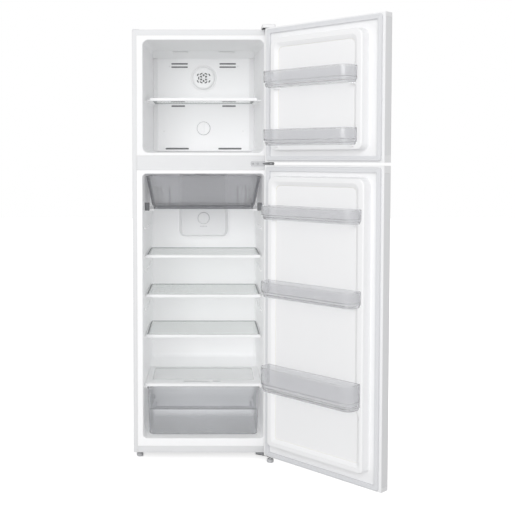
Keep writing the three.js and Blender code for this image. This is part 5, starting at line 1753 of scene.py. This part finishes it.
def floor_material():
    """Pale seamless floor, lit up for the camera alone so that it throws no light on the model."""
    material = finish("studio_floor", (0.92, 0.92, 0.92), 0.7, grain=40.0, bump=0.01, mottle=0.01, dust=0.0)
    nodes, links = material.node_tree.nodes, material.node_tree.links
    shader = next(node for node in nodes if node.type == "BSDF_PRINCIPLED")
    output = next(node for node in nodes if node.type == "OUTPUT_MATERIAL")
    shader.inputs["Emission Color"].default_value = (1, 1, 1, 1)
    shader.inputs["Emission Strength"].default_value = 0.70
    path = nodes.new("ShaderNodeLightPath")
    plain = nodes.new("ShaderNodeBsdfDiffuse")
    plain.inputs["Color"].default_value = (0.6, 0.6, 0.6, 1.0)
    mix = nodes.new("ShaderNodeMixShader")
    links.new(path.outputs["Is Camera Ray"], mix.inputs["Fac"])
    links.new(plain.outputs["BSDF"], mix.inputs[1])
    links.new(shader.outputs["BSDF"], mix.inputs[2])
    links.new(mix.outputs["Shader"], output.inputs["Surface"])
    return material


def room_world(strength):
    """Plain white surroundings, seen at full white and giving light at the set strength."""
    world = bpy.data.worlds.new("studio")
    world.use_nodes = True
    nodes, links = world.node_tree.nodes, world.node_tree.links
    nodes.clear()
    output = nodes.new("ShaderNodeOutputWorld")
    seen = nodes.new("ShaderNodeBackground")
    light = nodes.new("ShaderNodeBackground")
    light.inputs["Strength"].default_value = strength
    seen.inputs["Color"].default_value = (1, 1, 1, 1)
    light.inputs["Color"].default_value = (1, 1, 1, 1)
    path = nodes.new("ShaderNodeLightPath")
    mix = nodes.new("ShaderNodeMixShader")
    links.new(path.outputs["Is Camera Ray"], mix.inputs["Fac"])
    links.new(light.outputs["Background"], mix.inputs[1])
    links.new(seen.outputs["Background"], mix.inputs[2])
    links.new(mix.outputs["Shader"], output.inputs["Surface"])
    bpy.context.scene.world = world


def soft_light(name, place, aim, size, power):
    """A square area light at a place, turned towards a point."""
    data = bpy.data.lights.new(name, "AREA")
    data.size = size
    data.energy = power
    light = bpy.data.objects.new(name, data)
    bpy.context.scene.collection.objects.link(light)
    light.location = place
    direction = light.location - type(light.location)(aim)
    light.rotation_euler = direction.to_track_quat("Z", "Y").to_euler()


class FRIDGE_OT_stage(bpy.types.Operator):
    """Set the floor, the light and the camera"""
    bl_idname = "fridge.stage"
    bl_label = "Stage"

    def execute(self, context):
        settings = context.scene.fridge_stage
        centre_x = float(CABINET_ORIGIN[0])
        reach = 14.0

        def ground(u, v):
            return np.stack([centre_x + u, v, np.full_like(u, -0.0006)], axis=-1)

        lines = np.linspace(-reach, reach, 9)
        points, faces = holed_sheet(lines, lines, [], ground)
        mesh = bpy.data.meshes.new("studio_floor")
        mesh.from_pydata(points.tolist(), [], faces)
        mesh.materials.append(floor_material())
        floor = bpy.data.objects.new("studio_floor", mesh)
        context.scene.collection.objects.link(floor)
        room_world(settings.room)
        place = (centre_x - KEY_LIGHT["left"], KEY_LIGHT["front"], KEY_LIGHT["height"])
        aim = (centre_x, KEY_LIGHT["aim_depth"], KEY_LIGHT["aim_height"])
        soft_light("key_light", place, aim, KEY_LIGHT["size"], settings.key)
        camera_data = bpy.data.cameras.new("camera")
        camera_data.sensor_width = 36.0
        camera_data.lens = settings.lens
        camera_data.shift_x = CAMERA["shift_x"]
        camera_data.shift_y = CAMERA["shift_y"]
        camera = bpy.data.objects.new("camera", camera_data)
        context.scene.collection.objects.link(camera)
        camera.location = CAMERA["place"]
        camera.rotation_euler = (math.radians(90 - CAMERA["tilt"]), 0, math.radians(CAMERA["pan"]))
        context.scene.camera = camera
        context.scene.view_settings.view_transform = "Standard"
        return {"FINISHED"}


# ---------- Add-on ----------

SETTINGS = {
    "fridge_shell": ShellSettings,
    "fridge_fittings": FittingSettings,
    "fridge_finish": FinishSettings,
    "fridge_stage": StageSettings,
}
OPERATORS = (
    FRIDGE_OT_cabinet,
    FRIDGE_OT_liners,
    FRIDGE_OT_freezer,
    FRIDGE_OT_shelves,
    FRIDGE_OT_duct,
    FRIDGE_OT_drawers,
    FRIDGE_OT_doors,
    FRIDGE_OT_bins,
    FRIDGE_OT_hinges,
    FRIDGE_OT_machine_room,
    FRIDGE_OT_frame_finishes,
    FRIDGE_OT_stage,
)


class FRIDGE_PT_panel(bpy.types.Panel):
    """Buttons for each group of pieces, and their settings"""
    bl_idname = "FRIDGE_PT_panel"
    bl_label = "Refrigerator"
    bl_space_type = "VIEW_3D"
    bl_region_type = "UI"
    bl_category = "Refrigerator"

    def draw(self, context):
        for name, group in SETTINGS.items():
            box = self.layout.box()
            for setting in group.__annotations__:
                box.prop(getattr(context.scene, name), setting)
        for operator in OPERATORS:
            self.layout.operator(operator.bl_idname)


def register():
    """Add the classes, and the settings on the scene."""
    for cls in (*SETTINGS.values(), *OPERATORS, FRIDGE_PT_panel):
        bpy.utils.register_class(cls)
    for name, group in SETTINGS.items():
        setattr(bpy.types.Scene, name, PointerProperty(type=group))


def unregister():
    """Take the settings and the classes away again."""
    for name in SETTINGS:
        delattr(bpy.types.Scene, name)
    for cls in (FRIDGE_PT_panel, *OPERATORS[::-1], *SETTINGS.values()):
        bpy.utils.unregister_class(cls)


def main():
    """Build everything in order."""
    register()
    for operator in OPERATORS:
        group, name = operator.bl_idname.split(".")
        getattr(getattr(bpy.ops, group), name)()


if __name__ == "__main__":
    main()
